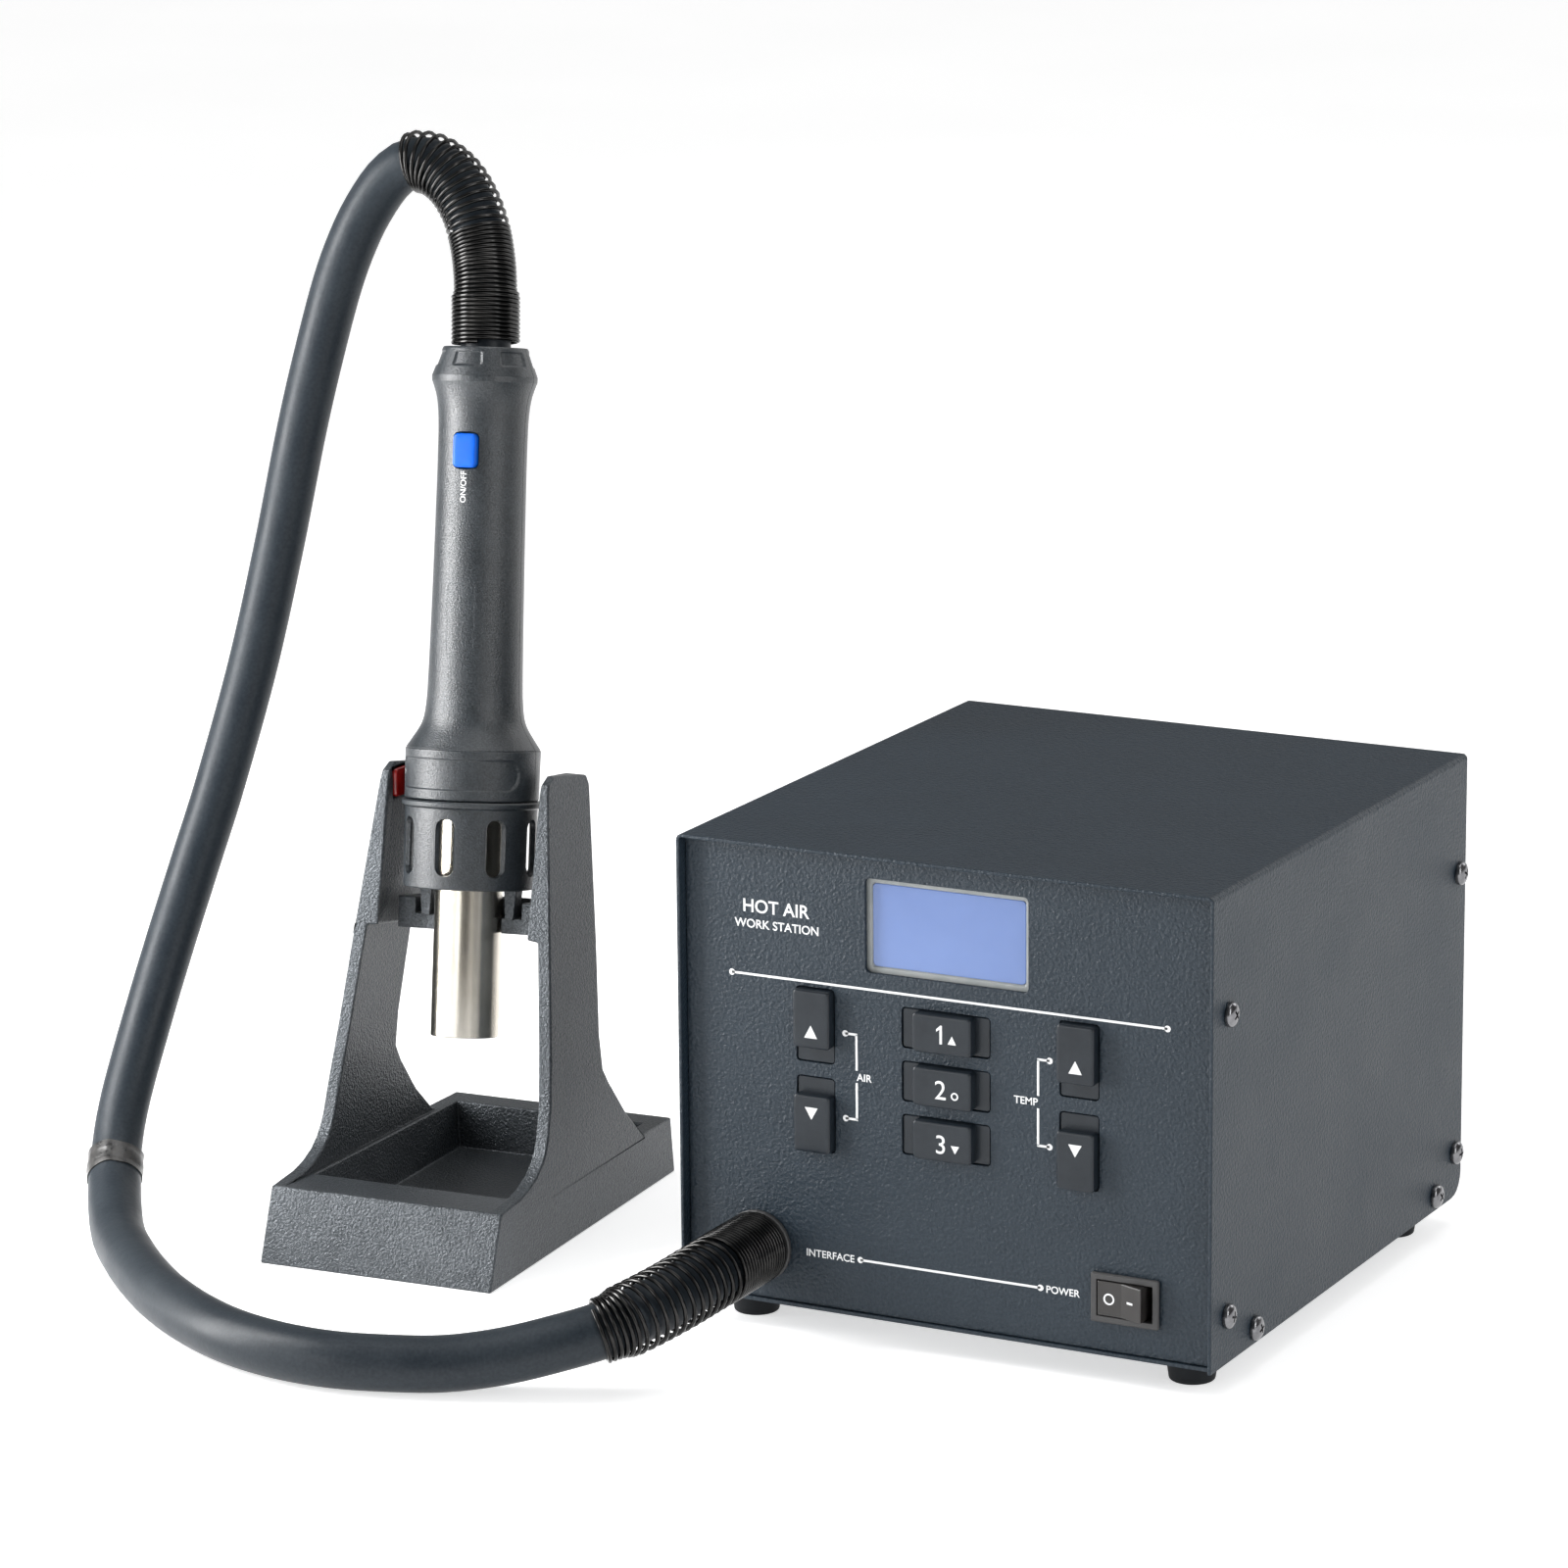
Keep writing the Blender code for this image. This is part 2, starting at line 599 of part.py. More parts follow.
def blower(parent):
    """A scroll housing with an inlet on top and a spout towards the front, and its rotor."""
    centre = (BLOWER_X, BLOWER_Y)
    spout_x, low = SOCKET_X, TRAY_SHEET + GAP
    outline = arc(centre, BLOWER_R, 0, 350, 35)
    housing = add("blower_housing", prism(outline, "z", low, BLOWER_TOP), "blower_plastic", parent)
    spout_end = 0.0720
    boolean(housing, rod((spout_x, spout_end, SOCKET_Z), (spout_x, BLOWER_Y, SOCKET_Z), 0.0086, 16),
            "UNION")
    wall = 0.003
    boolean(housing, prism(arc(centre, BLOWER_R - wall, 0, 348, 29), "z", low + wall,
                           BLOWER_TOP - wall))
    boolean(housing, rod((*centre, BLOWER_TOP - 2 * wall), (*centre, BLOWER_TOP + wall), 0.020, 24))
    boolean(housing, rod((spout_x, spout_end - 0.002, SOCKET_Z), (spout_x, BLOWER_Y, SOCKET_Z),
                         0.0062, 16))
    disc_r, hub_r = 0.034, 0.009
    bottom, top = low + wall + 0.002, BLOWER_TOP - wall - 0.004
    profile = [(0, bottom), (disc_r, bottom), (disc_r, bottom + 0.002), (hub_r, bottom + 0.002),
               (hub_r, top - 0.002), (hub_r - 0.002, top), (0, top)]
    rotor = add("blower_rotor", turned(profile, 32), "rotor_plastic", parent, smooth=35)
    blades = bmesh.new()
    for k in range(11):
        blade = box((0.016, -0.0006, bottom + 0.001), (disc_r - 0.0006, 0.0006, top - 0.002))
        turn = Matrix.Rotation(TAU * k / 11, 4, "Z")
        blade.transform(turn @ Matrix.Translation((0.004, 0, 0)) @ Matrix.Rotation(0.35, 4, "Z")
                        @ Matrix.Translation((-0.004, 0, 0)))
        piece = bpy.data.meshes.new("blade")
        blade.to_mesh(piece)
        blade.free()
        blades.from_mesh(piece)
        bpy.data.meshes.remove(piece)
    boolean(rotor, blades, "UNION")
    rotor.location = (*centre, 0)
    return housing, rotor


def air_duct(parent):
    """A plain sleeve from the socket's neck to the blower's spout."""
    start, end = 0.0142, 0.0717
    profile = [(0.0068, 0), (0.0092, 0), (0.0092, end - start), (0.0068, end - start)]
    made = add("air_duct", turned(profile, 16), "silicone", parent, smooth=35)
    made.location = (SOCKET_X, start, SOCKET_Z)
    made.rotation_euler = (-math.pi / 2, 0, 0)
    return made


def transformer(parent):
    x, y, low = 0.140, 0.125, TRAY_SHEET + GAP
    made = add("transformer", box((x - 0.028, y - 0.018, low), (x + 0.028, y + 0.018, low + 0.048)),
               "iron_core", parent)
    coil = prism(rounded(0.038, 0.060, 0.006, (x, y)), "z", low + 0.010, low + 0.038)
    return boolean(made, coil, "UNION")


# ---- stand --------------------------------------------------------------------------------

# Half width of the stand's outer faces at each height.
SIDE_STEPS = ((0.0, 0.0432), (0.036, 0.0431), (0.050, 0.0425), (0.100, 0.0375), (0.157, 0.0314))
# Front edge of each arm, as (height, depth): it sweeps up from the base's front corner.
ARM_FRONT = ((0.0195, 0.0100), (0.0247, 0.0105), (0.0252, 0.0155), (0.0260, 0.0254),
             (0.0270, 0.0298), (0.0300, 0.0371), (0.0330, 0.0413), (0.0360, 0.0438),
             (0.0400, 0.0460), (0.0500, 0.0494), (0.0700, 0.0545), (0.1000, 0.0612),
             (0.1520, 0.0731), (0.1553, 0.0745), (0.1574, 0.0790))
ARM_REAR = ((0.0195, 0.1216), (0.0205, 0.1206), (0.0325, 0.1070), (0.0409, 0.0998),
            (0.0500, 0.0922), (0.0560, 0.0896), (0.0700, 0.0919), (0.1000, 0.0971),
            (0.1490, 0.1047), (0.1512, 0.1045), (0.1530, 0.1030))
# An arm's thickness at its front and rear edge, by the height of the front edge. From PAD_FROM
# up it is thicker, as a pad that the cradle stands between, and its inner face recedes.
PAD_FROM = 0.1037
FRONT_T = ((0.0, 0.0048), (PAD_FROM, 0.0048), (PAD_FROM + 0.0004, 0.0088), (0.1574, 0.0027))
REAR_T = ((0.0, 0.0048), (PAD_FROM, 0.0048), (PAD_FROM + 0.0004, 0.0086), (0.1574, 0.0080))
# How far an arm's cross-sections fall towards the rear: level at the base, and square to the
# handpiece from the pad up.
FALL = ((0.0, 0.0), (0.030, 0.0), (0.090, HAND_AXIS[1] / HAND_AXIS[2]))


def along(steps, value):
    """Linear interpolation in a table of (height, value)."""
    for (a, low), (b, high) in zip(steps, steps[1:]):
        if value <= b:
            return low + (high - low) * (value - a) / (b - a)
    return steps[-1][1]


def arm(side):
    heights = {h for h, _ in ARM_FRONT} | {h for h, _ in ARM_REAR if h < PAD_FROM}
    heights |= {h for h, _ in FRONT_T if h > ARM_FRONT[0][0]}
    sections = []
    for h in sorted(heights):
        front = along(ARM_FRONT, h)
        low = h
        for _ in range(5):
            low = h - along(FALL, h) * (along(ARM_REAR, low) - front)
        rear = along(ARM_REAR, low)
        near, far = along(SIDE_STEPS, h), along(SIDE_STEPS, low)
        section = [(near - along(FRONT_T, h), front, h), (near, front, h), (far, rear, low),
                   (far - along(REAR_T, h), rear, low)]
        sections.append([(side * x, y, z) for x, y, z in section])
    return loft(sections)


def stand_body(parent):
    half, top_half = 0.0434, 0.0433
    bottom = [(-half, 0, 0), (half, 0, 0), (half - 0.001, 0.147, 0), (-half + 0.001, 0.147, 0)]
    top = [(-top_half, 0.0095, BASE_TOP), (top_half, 0.0095, BASE_TOP),
           (top_half - 0.001, 0.1445, RIM_REAR), (-top_half + 0.001, 0.1445, RIM_REAR)]
    made = add("stand_body", loft([bottom, top]), "stand_casting", parent)
    floor, inner = 0.0045, 0.0374
    well_low = [(-inner + 0.003, 0.031, floor), (inner - 0.003, 0.031, floor),
                (inner - 0.003, 0.131, floor), (-inner + 0.003, 0.131, floor)]
    well_high = [(-inner, 0.0275, 0.030), (inner, 0.0275, 0.030), (inner, 0.1345, 0.030),
                 (-inner, 0.1345, 0.030)]
    boolean(made, loft([well_low, well_high]))
    for side in (-1, 1):
        boolean(made, arm(side), "UNION")
    pocket = MAGNET
    low = (pocket[0] - 0.0022, pocket[1] - 0.0043, pocket[2] - 0.0052)
    high = (pocket[0] + 0.0070, pocket[1] + 0.0043, pocket[2] + 0.0052)
    boolean(made, box(low, high))
    bevel(made, 0.0008, 1, 50)
    return made


def magnet_insert(parent):
    """A red block let into the left arm's inner face: the magnet that tells the handpiece it is
    in its rest."""
    x, y, z = MAGNET
    sections = []
    for dx, shrink in ((-0.0019, 0), (0.0004, 0), (0.0008, 0.0004)):
        outline = rounded(0.0080 - 2 * shrink, 0.0098 - 2 * shrink, 0.0015 - shrink, (y, z))
        sections.append([(x + dx, u, v) for u, v in outline])
    return add("magnet_insert", loft(sections), "red_insert", parent, smooth=35)


def cradle(parent):
    """The fork between the stand's arms, square to the handpiece: a shelf with a half-round
    notch that is open to the front, a wall behind, a cheek at each end, and two fingers that the
    skirt sits on."""
    low, shelf, cheek, wall, high = 0.0345, 0.0397, 0.0452, 0.0459, SKIRT_BOTTOM - GAP
    slot, reach, depth = TUBE_R + 0.0010, 0.0268, 0.0170
    outline = [(-reach, 0), (-slot, 0), *arc((0, 0), slot, 165, 15, 10), (slot, 0), (reach, 0),
               (reach, depth), (-reach, depth)]
    made = add("cradle", prism(outline, "z", low, shelf), "stand_casting", parent)
    behind = box((-0.0230, depth - 0.0026, shelf - 0.0016), (0.0230, depth - 0.0004, wall))
    boolean(made, behind, "UNION")
    for side in (-1, 1):
        near, far = sorted((side * 0.0202, side * reach))
        boolean(made, box((near, 0, shelf - 0.002), (far, depth, cheek)), "UNION")
        sections = []
        for z, inner, outer in ((shelf - 0.0004, 0.0143, 0.0174), (high, 0.0137, 0.0184)):
            sections.append([(side * x, y, z) for x, y in ((inner, -0.0010), (outer, -0.0010),
                                                           (outer, 0.0042), (inner, 0.0042))])
        boolean(made, loft(sections), "UNION")
    return made


# ---- handpiece ----------------------------------------------------------------------------

# Outer radius of the handle's shells, as (height, radius).
SHELL_OUTLINE = ((0.0797, 0.0228), (0.0969, 0.0230), (0.0990, 0.0214), (0.1050, 0.0178),
                 (0.1105, 0.0166), (0.1190, 0.0161), (0.1515, 0.0155), (0.1790, 0.0152),
                 (0.1960, 0.0151), (0.2090, 0.0153), (0.2160, 0.0161), (0.2208, 0.0176),
                 (0.2232, 0.0178), (0.2329, 0.0143))


def handle_shell(name, parent, front):
    """Half of the handle: turned outline, closed ends with a hole, split on the axis."""
    hole_low, hole_high = TUBE_R + 0.0006, HOSE_THIN_R + 0.0006
    profile = [(hole_low, SHELL_BOTTOM)]
    profile += [(r, h) for h, r in SHELL_OUTLINE]
    profile += [(hole_high, SHELL_TOP), (hole_high, SHELL_TOP - SHELL_T)]
    inner = [(r - SHELL_T, h) for h, r in reversed(SHELL_OUTLINE[1:-1:2])]
    profile += inner
    profile += [(SHELL_OUTLINE[0][1] - SHELL_T, SHELL_BOTTOM + SHELL_T),
                (hole_low, SHELL_BOTTOM + SHELL_T)]
    start = math.pi if front else 0.0
    bm = turned(profile, 16, math.pi, start)
    shift = -GAP / 2 if front else GAP / 2
    bmesh.ops.translate(bm, verts=bm.verts, vec=(0, shift, 0))
    made = add(name, bm, "handle_plastic", parent, smooth=35)
    if front:
        outline = rounded(BUTTON_W + 0.0008, BUTTON_H + 0.0008, 0.0018, (0, BUTTON_Z))
        boolean(made, prism(outline, "y", -0.020, -0.0105))
    return made


def handle_button(parent):
    """The blue key in the handle. Its lip stays behind the shell."""
    stem = []
    for y, shrink in ((-0.0110, 0), (-0.0157, 0), (-0.0162, 0.0006)):
        outline = rounded(BUTTON_W - 2 * shrink, BUTTON_H - 2 * shrink, 0.0018 - shrink,
                          (0, BUTTON_Z))
        stem.append([(x, y, z) for x, z in outline])
    made = add("handle_button", loft(stem), "blue_button", parent, smooth=35)
    lip = box((-0.0052, -0.0114, BUTTON_Z - 0.0070), (0.0052, -0.0100, BUTTON_Z + 0.0070))
    return boolean(made, lip, "UNION")


def vent_skirt(parent):
    """The slotted guard below the handle, with a rib at its top and a plate round the tube."""
    wall, rib = 0.0018, SKIRT_R + 0.0014
    hole = TUBE_R + GAP
    profile = [(SKIRT_R - wall, SKIRT_BOTTOM), (SKIRT_R, SKIRT_BOTTOM),
               (SKIRT_R + 0.0002, SKIRT_TOP - 0.0022), (rib, SKIRT_TOP - 0.0016),
               (rib, SKIRT_TOP - 0.0004), (rib - 0.0005, SKIRT_TOP), (hole, SKIRT_TOP),
               (hole, SKIRT_TOP - 0.002), (SKIRT_R - wall, SKIRT_TOP - 0.002)]
    made = add("vent_skirt", turned(profile, 36), "handle_plastic", parent, smooth=35)
    tools = bmesh.new()
    slot = rounded(0.0056, 0.0190, 0.0027, (0, (0.0541 + 0.0737) / 2))
    for k in range(8):
        cutter = prism(slot, "y", -0.030, -0.016)
        cutter.transform(Matrix.Rotation(TAU * k / 8, 4, "Z"))
        piece = bpy.data.meshes.new("slot")
        cutter.to_mesh(piece)
        cutter.free()
        tools.from_mesh(piece)
        bpy.data.meshes.remove(piece)
    return boolean(made, tools)


def heater(parent):
    wall = 0.0007
    lip = 0.0003
    profile = [(TUBE_R - wall, TUBE_FOOT), (TUBE_R - lip, TUBE_FOOT), (TUBE_R, TUBE_FOOT + lip),
               (TUBE_R, TUBE_TOP), (TUBE_R - wall, TUBE_TOP)]
    add("heater_tube", turned(profile, 32), "stainless", parent, smooth=35)
    outer, inner = TUBE_R - wall - 0.0004, 0.0098
    profile = [(inner, 0.004), (outer, 0.004), (outer, TUBE_TOP - 0.002), (inner, TUBE_TOP - 0.002)]
    add("mica_sleeve", turned(profile, 20), "mica", parent, smooth=35)
    outline = []
    for k in range(8):
        centre = 360 * k / 8
        outline += arc((0, 0), 0.0090, centre - 14, centre + 14, 2)
        outline += arc((0, 0), 0.0066, centre + 17, centre + 28, 1)
    add("heater_core", prism(outline, "z", 0.007, TUBE_TOP - 0.001), "ceramic", parent)


def handle_board(parent):
    front, back = -0.0088, -0.0072
    made = add("handle_board", box((-0.0070, front, 0.122), (0.0070, back, 0.216)),
               "circuit_board", parent)
    reed = box((-0.0022, front - 0.0018, 0.128), (0.0022, front + 0.0004, 0.146))
    return boolean(made, reed, "UNION")


# ---- hose and its springs -----------------------------------------------------------------

def hose_points():
    """The route in cabinet_frame, as evenly spaced points of one smooth curve through its own
    points and on into the handpiece's collar, and the distance along it at each."""
    own = [Vector(p) * 0.001 for p in HOSE_ROUTE]
    hand = FRAMES["handpiece_frame"].matrix_world
    cabinet = FRAMES["cabinet_frame"].matrix_world.inverted()
    own += [cabinet @ (hand @ Vector((0, 0, h))) for h in (0.246, 0.2300)]
    ends = [2 * own[0] - own[1], *own, 2 * own[-1] - own[-2]]
    fine = []
    for a, b, c, d in zip(ends, ends[1:], ends[2:], ends[3:]):
        for k in range(12):
            t = k / 12
            fine.append(0.5 * (2 * b + (c - a) * t + (2 * a - 5 * b + 4 * c - d) * t * t
                               + (3 * b - a - 3 * c + d) * t ** 3))
    fine.append(own[-1])
    reach = [0.0]
    for a, b in zip(fine, fine[1:]):
        reach.append(reach[-1] + (b - a).length)
    return fine, reach


def hose_at(distance, fine, reach):
    for i in range(1, len(reach)):
        if reach[i] >= distance:
            share = (distance - reach[i - 1]) / (reach[i] - reach[i - 1])
            return fine[i - 1].lerp(fine[i], share)
    return fine[-1].copy()


def stretch(start, end, fine, reach, step=HOSE_STEP):
    count = max(1, round((end - start) / step))
    return [hose_at(start + (end - start) * k / count, fine, reach) for k in range(count + 1)]


def tube(name, points, radius, parent):
    curve = bpy.data.curves.new(name, "CURVE")
    curve.dimensions = "3D"
    curve.bevel_depth = radius
    curve.bevel_resolution = 4
    curve.use_fill_caps = True
    curve.twist_mode = "MINIMUM"
    spline = curve.splines.new("POLY")
    spline.points.add(len(points) - 1)
    for spot, place in zip(spline.points, points):
        spot.co = (*place, 1)
    made = bpy.data.objects.new(name, curve)
    bpy.context.scene.collection.objects.link(made)
    made.parent = parent
    made.data.materials.append(material("hose_rubber"))
    MADE[name] = made
    return made


def sleeve(name, points, first, inner, outers, finish, parent, sides=16):
    """A hollow sleeve round the hose, from its point number first on. outers gives the outer
    radius at each point."""
    bm = bmesh.new()
    normal = Vector((0.3, 0.2, 0.9))
    rings = []
    for i in range(first, first + len(outers)):
        place = points[i]
        back = place - points[max(i - 1, 0)]
        on = points[min(i + 1, len(points) - 1)] - place
        tangent = (back.normalized() + on.normalized()).normalized()
        normal = (normal - tangent * normal.dot(tangent)).normalized()
        side = tangent.cross(normal)
        ring = []
        for radius in (outers[i - first], inner):
            loop = []
            for k in range(sides):
                angle = TAU * k / sides
                loop.append(bm.verts.new(place + radius * (math.cos(angle) * normal
                                                           + math.sin(angle) * side)))
            ring.append(loop)
        rings.append(ring)
    for (outer_a, inner_a), (outer_b, inner_b) in zip(rings, rings[1:]):
        for k in range(sides):
            j = (k + 1) % sides
            bm.faces.new((outer_a[k], outer_a[j], outer_b[j], outer_b[k]))
            bm.faces.new((inner_a[j], inner_a[k], inner_b[k], inner_b[j]))
    for outer, inside in (rings[0], rings[-1]):
        for k in range(sides):
            j = (k + 1) % sides
            bm.faces.new((outer[j], outer[k], inside[k], inside[j]))
    return add(name, bm, finish, parent, smooth=35)


def butt(distance, fine, reach):
    """Two cut ends that face each other across a gap, each with a short straight length."""
    place = hose_at(distance, fine, reach)
    ahead = (hose_at(distance + 0.003, fine, reach) - place).normalized()
    half = TAPE_W / 2
    before = [place - half * ahead, place]
    after = [place + GAP * ahead, place + (GAP + half) * ahead]
    return before, after


def hose(cabinet):
    """The hose in three lengths, and the sleeves on it, whose rings stand at the hose's own
    points so that both bend alike."""
    fine, reach = hose_points()
    length = reach[-1]
    joint, split = TAPE_AT * length, HOSE_SPLIT * length
    start = [fine[0], *stretch(TAPE_W / 2, SPRING_LENGTH, fine, reach)]
    lower = start + stretch(SPRING_LENGTH + HOSE_STEP, joint - HOSE_STEP, fine, reach)
    below, above = butt(joint, fine, reach)
    tube("hose_lower", lower + below, HOSE_R, cabinet)
    middle = stretch(joint + HOSE_STEP, split - HOSE_STEP, fine, reach)
    under, over = butt(split, fine, reach)
    tube("hose_middle", above + middle + under, HOSE_THIN_R, cabinet)
    collar = length - 0.0035
    guard = collar - GUARD_LENGTH
    rise = stretch(split + HOSE_STEP, guard, fine, reach, 0.011)
    bend = stretch(guard, collar, fine, reach, 0.0077)
    upper = over + rise[:-1] + bend + fine[-1:]
    tube("hose_upper", upper, HOSE_THIN_R, cabinet)

    outers = [SPRING_R] * len(start)
    sleeve("spring_station", lower, 0, HOSE_R + 0.0007, outers, "spring_wire", cabinet)
    outers = [GUARD_R] * (len(bend) - 3) + [SPRING_R] * 3
    first = len(upper) - 1 - len(bend)
    sleeve("spring_handle", upper, first, HOSE_THIN_R + 0.0007, outers, "spring_wire", cabinet)
    outers = [HOSE_R + 0.0010] * 2
    sleeve("hose_tape", [below[0], above[1]], 0, HOSE_R + 0.0005, outers, "tape", cabinet)


# ---- the whole ----------------------------------------------------------------------------

def stand_on_origin(root):
    """Moves the root so that the origin is under the middle of everything but the hose."""
    bpy.context.view_layer.update()
    graph = bpy.context.evaluated_depsgraph_get()
    low, high = Vector((1e9,) * 3), Vector((-1e9,) * 3)
    for name, obj in MADE.items():
        if name in CORD_NODES:
            continue
        evaluated = obj.evaluated_get(graph)
        mesh = evaluated.to_mesh()
        for vert in mesh.vertices:
            place = evaluated.matrix_world @ vert.co
            for axis in range(3):
                low[axis] = min(low[axis], place[axis])
                high[axis] = max(high[axis], place[axis])
        evaluated.to_mesh_clear()
    middle = (low + high) / 2
    root.location = (-middle.x, -middle.y, -low.z)
    bpy.context.view_layer.update()


def build():
    clear_scene()
    root = empty("station_frame")
    cabinet = empty("cabinet_frame", root)
    stand = empty("stand_frame", root, STAND_PLACE, Quaternion((0, 0, 1), STAND_YAW))
    tilt = Vector(HAND_AXIS).to_track_quat("Z", "Y")
    ahead = tilt @ Vector((0, -1, 0))
    square = math.atan2(ahead.x, -ahead.y)
    hand = empty("handpiece_frame", stand, HAND_FOOT,
                 tilt @ Quaternion((0, 0, 1), HAND_TURN - square))
    fork = empty("cradle_frame", stand, HAND_FOOT, tilt @ Quaternion((0, 0, 1), -square))
    bpy.context.view_layer.update()
    FRAMES.update(cabinet_frame=cabinet, handpiece_frame=hand)

    cover(cabinet)
    base_tray(cabinet)
    front_panel(cabinet)
    rear_panel(cabinet)
    for number, (x, y) in enumerate(FOOT_SPOTS, 1):
        foot(f"foot_{number}", cabinet, x, y)
    cover_screws(cabinet)
    display(cabinet)
    keypad(cabinet)
    control_board(cabinet)
    power_rocker(cabinet)
    power_inlet(cabinet)
    hose_socket(cabinet)
    blower(cabinet)
    air_duct(cabinet)
    transformer(cabinet)

    stand_body(stand)
    magnet_insert(stand)
    cradle(fork)

    handle_shell("handle_front", hand, True)
    handle_shell("handle_rear", hand, False)
    handle_button(hand)
    vent_skirt(hand)
    heater(hand)
    handle_board(hand)

    hose(cabinet)
    stand_on_origin(root)


build()
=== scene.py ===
"""Looks of the hot air station: its hose and springs, finer outer pieces for the handpiece, keys,
screws and feet, round-edged copies of the stand and the cabinet's sheets, the printing, and a
procedural material for everything. Lengths are in metres unless a name or comment says
millimetres."""

import json
import math

import bmesh
import bpy
from mathutils import Matrix, Vector


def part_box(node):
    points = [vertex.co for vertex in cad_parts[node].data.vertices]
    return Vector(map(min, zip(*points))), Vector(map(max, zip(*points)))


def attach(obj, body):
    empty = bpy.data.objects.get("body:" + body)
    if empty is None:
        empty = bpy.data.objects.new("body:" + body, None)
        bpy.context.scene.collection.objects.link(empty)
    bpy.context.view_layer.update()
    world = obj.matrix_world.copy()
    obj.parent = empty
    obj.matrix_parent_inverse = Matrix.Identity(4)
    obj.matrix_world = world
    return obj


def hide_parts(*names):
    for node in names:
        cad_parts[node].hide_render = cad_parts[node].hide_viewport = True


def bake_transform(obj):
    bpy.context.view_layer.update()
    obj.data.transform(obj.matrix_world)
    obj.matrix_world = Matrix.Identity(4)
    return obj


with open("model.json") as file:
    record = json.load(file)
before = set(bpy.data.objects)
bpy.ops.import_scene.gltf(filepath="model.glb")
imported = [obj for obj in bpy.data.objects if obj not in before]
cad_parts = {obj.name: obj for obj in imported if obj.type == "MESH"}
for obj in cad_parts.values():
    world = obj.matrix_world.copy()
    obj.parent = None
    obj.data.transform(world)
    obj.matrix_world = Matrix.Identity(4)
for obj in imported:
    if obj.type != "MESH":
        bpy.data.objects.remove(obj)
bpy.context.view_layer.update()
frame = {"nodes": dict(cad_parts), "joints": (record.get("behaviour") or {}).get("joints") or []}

TAU = 2 * math.pi
MM = 0.001
TINY = 1e-7
JOINTS = {joint["name"]: joint for joint in frame["joints"]}

# ---- frames -------------------------------------------------------------------------------

# Cabinet millimetres run from the cover's front left bottom corner.
CABINET = Matrix.Translation(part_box("cover")[0])
PANEL_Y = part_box("front_panel")[0].y
# The handpiece's own frame: its origin is by the open end of the heater tube, +Z runs up it
# and -Y is its front, where the button is.
HAND_UP = Vector(JOINTS["handpiece_lift"]["axis"]).normalized()
HAND_BACK = Vector(JOINTS["handle_button_press"]["axis"]).normalized()
TUBE_FOOT, TUBE_TOP = -0.0012, 0.088
TUBE_LOW, TUBE_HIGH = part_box("heater_tube")
HAND_FOOT = (TUBE_LOW + TUBE_HIGH) / 2 - HAND_UP * (TUBE_TOP + TUBE_FOOT) / 2
HAND = Matrix.Translation(HAND_FOOT) @ Matrix(
    (HAND_BACK.cross(HAND_UP), HAND_BACK, HAND_UP)).transposed().to_4x4()


def cab(x, y, z):
    """A point given in cabinet millimetres."""
    return CABINET @ (Vector((x, y, z)) * MM)


# ---- camera -------------------------------------------------------------------------------

# The photograph's camera, worked out from the cabinet's edges. Angles are in degrees.
CAMERA_AZIMUTH, CAMERA_ELEVATION, CAMERA_ROLL = 27.807, 13.748, -0.562
CAMERA_LENS = 140.84
CAMERA_PLACE = cab(918.8, -1667.2, 635.8)


def make_camera():
    azimuth, elevation = math.radians(CAMERA_AZIMUTH), math.radians(CAMERA_ELEVATION)
    roll = math.radians(CAMERA_ROLL)
    back = Vector((math.sin(azimuth) * math.cos(elevation),
                   -math.cos(azimuth) * math.cos(elevation), math.sin(elevation)))
    right = Vector((math.cos(azimuth), math.sin(azimuth), 0))
    up = back.cross(right)
    across = math.cos(roll) * right + math.sin(roll) * up
    upward = math.cos(roll) * up - math.sin(roll) * right
    data = bpy.data.cameras.new("camera")
    data.sensor_width = 36
    data.lens = CAMERA_LENS
    data.clip_end = 50
    made = bpy.data.objects.new("camera", data)
    bpy.context.scene.collection.objects.link(made)
    made.matrix_world = (Matrix.Translation(CAMERA_PLACE)
                         @ Matrix((across, upward, back)).transposed().to_4x4())
    bpy.context.scene.camera = made


make_camera()

# ---- mesh helpers -------------------------------------------------------------------------


def turned(profile, sides):
    """Revolves a closed outline of (radius, height) points about Z."""
    bm = bmesh.new()
    rings = []
    for k in range(sides):
        angle = TAU * k / sides
        ring = []
        for radius, height in profile:
            if radius < TINY and rings:
                ring.append(rings[0][len(ring)])
            else:
                ring.append(bm.verts.new((radius * math.cos(angle), radius * math.sin(angle),
                                          height)))
        rings.append(ring)
    for k in range(sides):
        near, far = rings[k], rings[(k + 1) % sides]
        for i in range(len(profile)):
            j = (i + 1) % len(profile)
            corners = []
            for vert in (near[i], near[j], far[j], far[i]):
                if vert not in corners:
                    corners.append(vert)
            if len(corners) > 2:
                bm.faces.new(corners)
    return bm


def arc(centre, radius, start, end, steps):
    """Points of an arc in a plane, angles in degrees, both ends included."""
    points = []
    for k in range(steps + 1):
        angle = math.radians(start + (end - start) * k / steps)
        points.append((centre[0] + radius * math.cos(angle), centre[1] + radius * math.sin(angle)))
    return points


def rounded(width, height, radius, centre=(0, 0)):
    """Outline of a rectangle with round corners."""
    radius = max(radius, 0.01 * MM)
    outline = []
    for sx, sy, begin in ((1, 1, 0), (-1, 1, 90), (-1, -1, 180), (1, -1, 270)):
        middle = (centre[0] + sx * (width / 2 - radius), centre[1] + sy * (height / 2 - radius))
        outline += arc(middle, radius, begin, begin + 90, 6)
    return outline


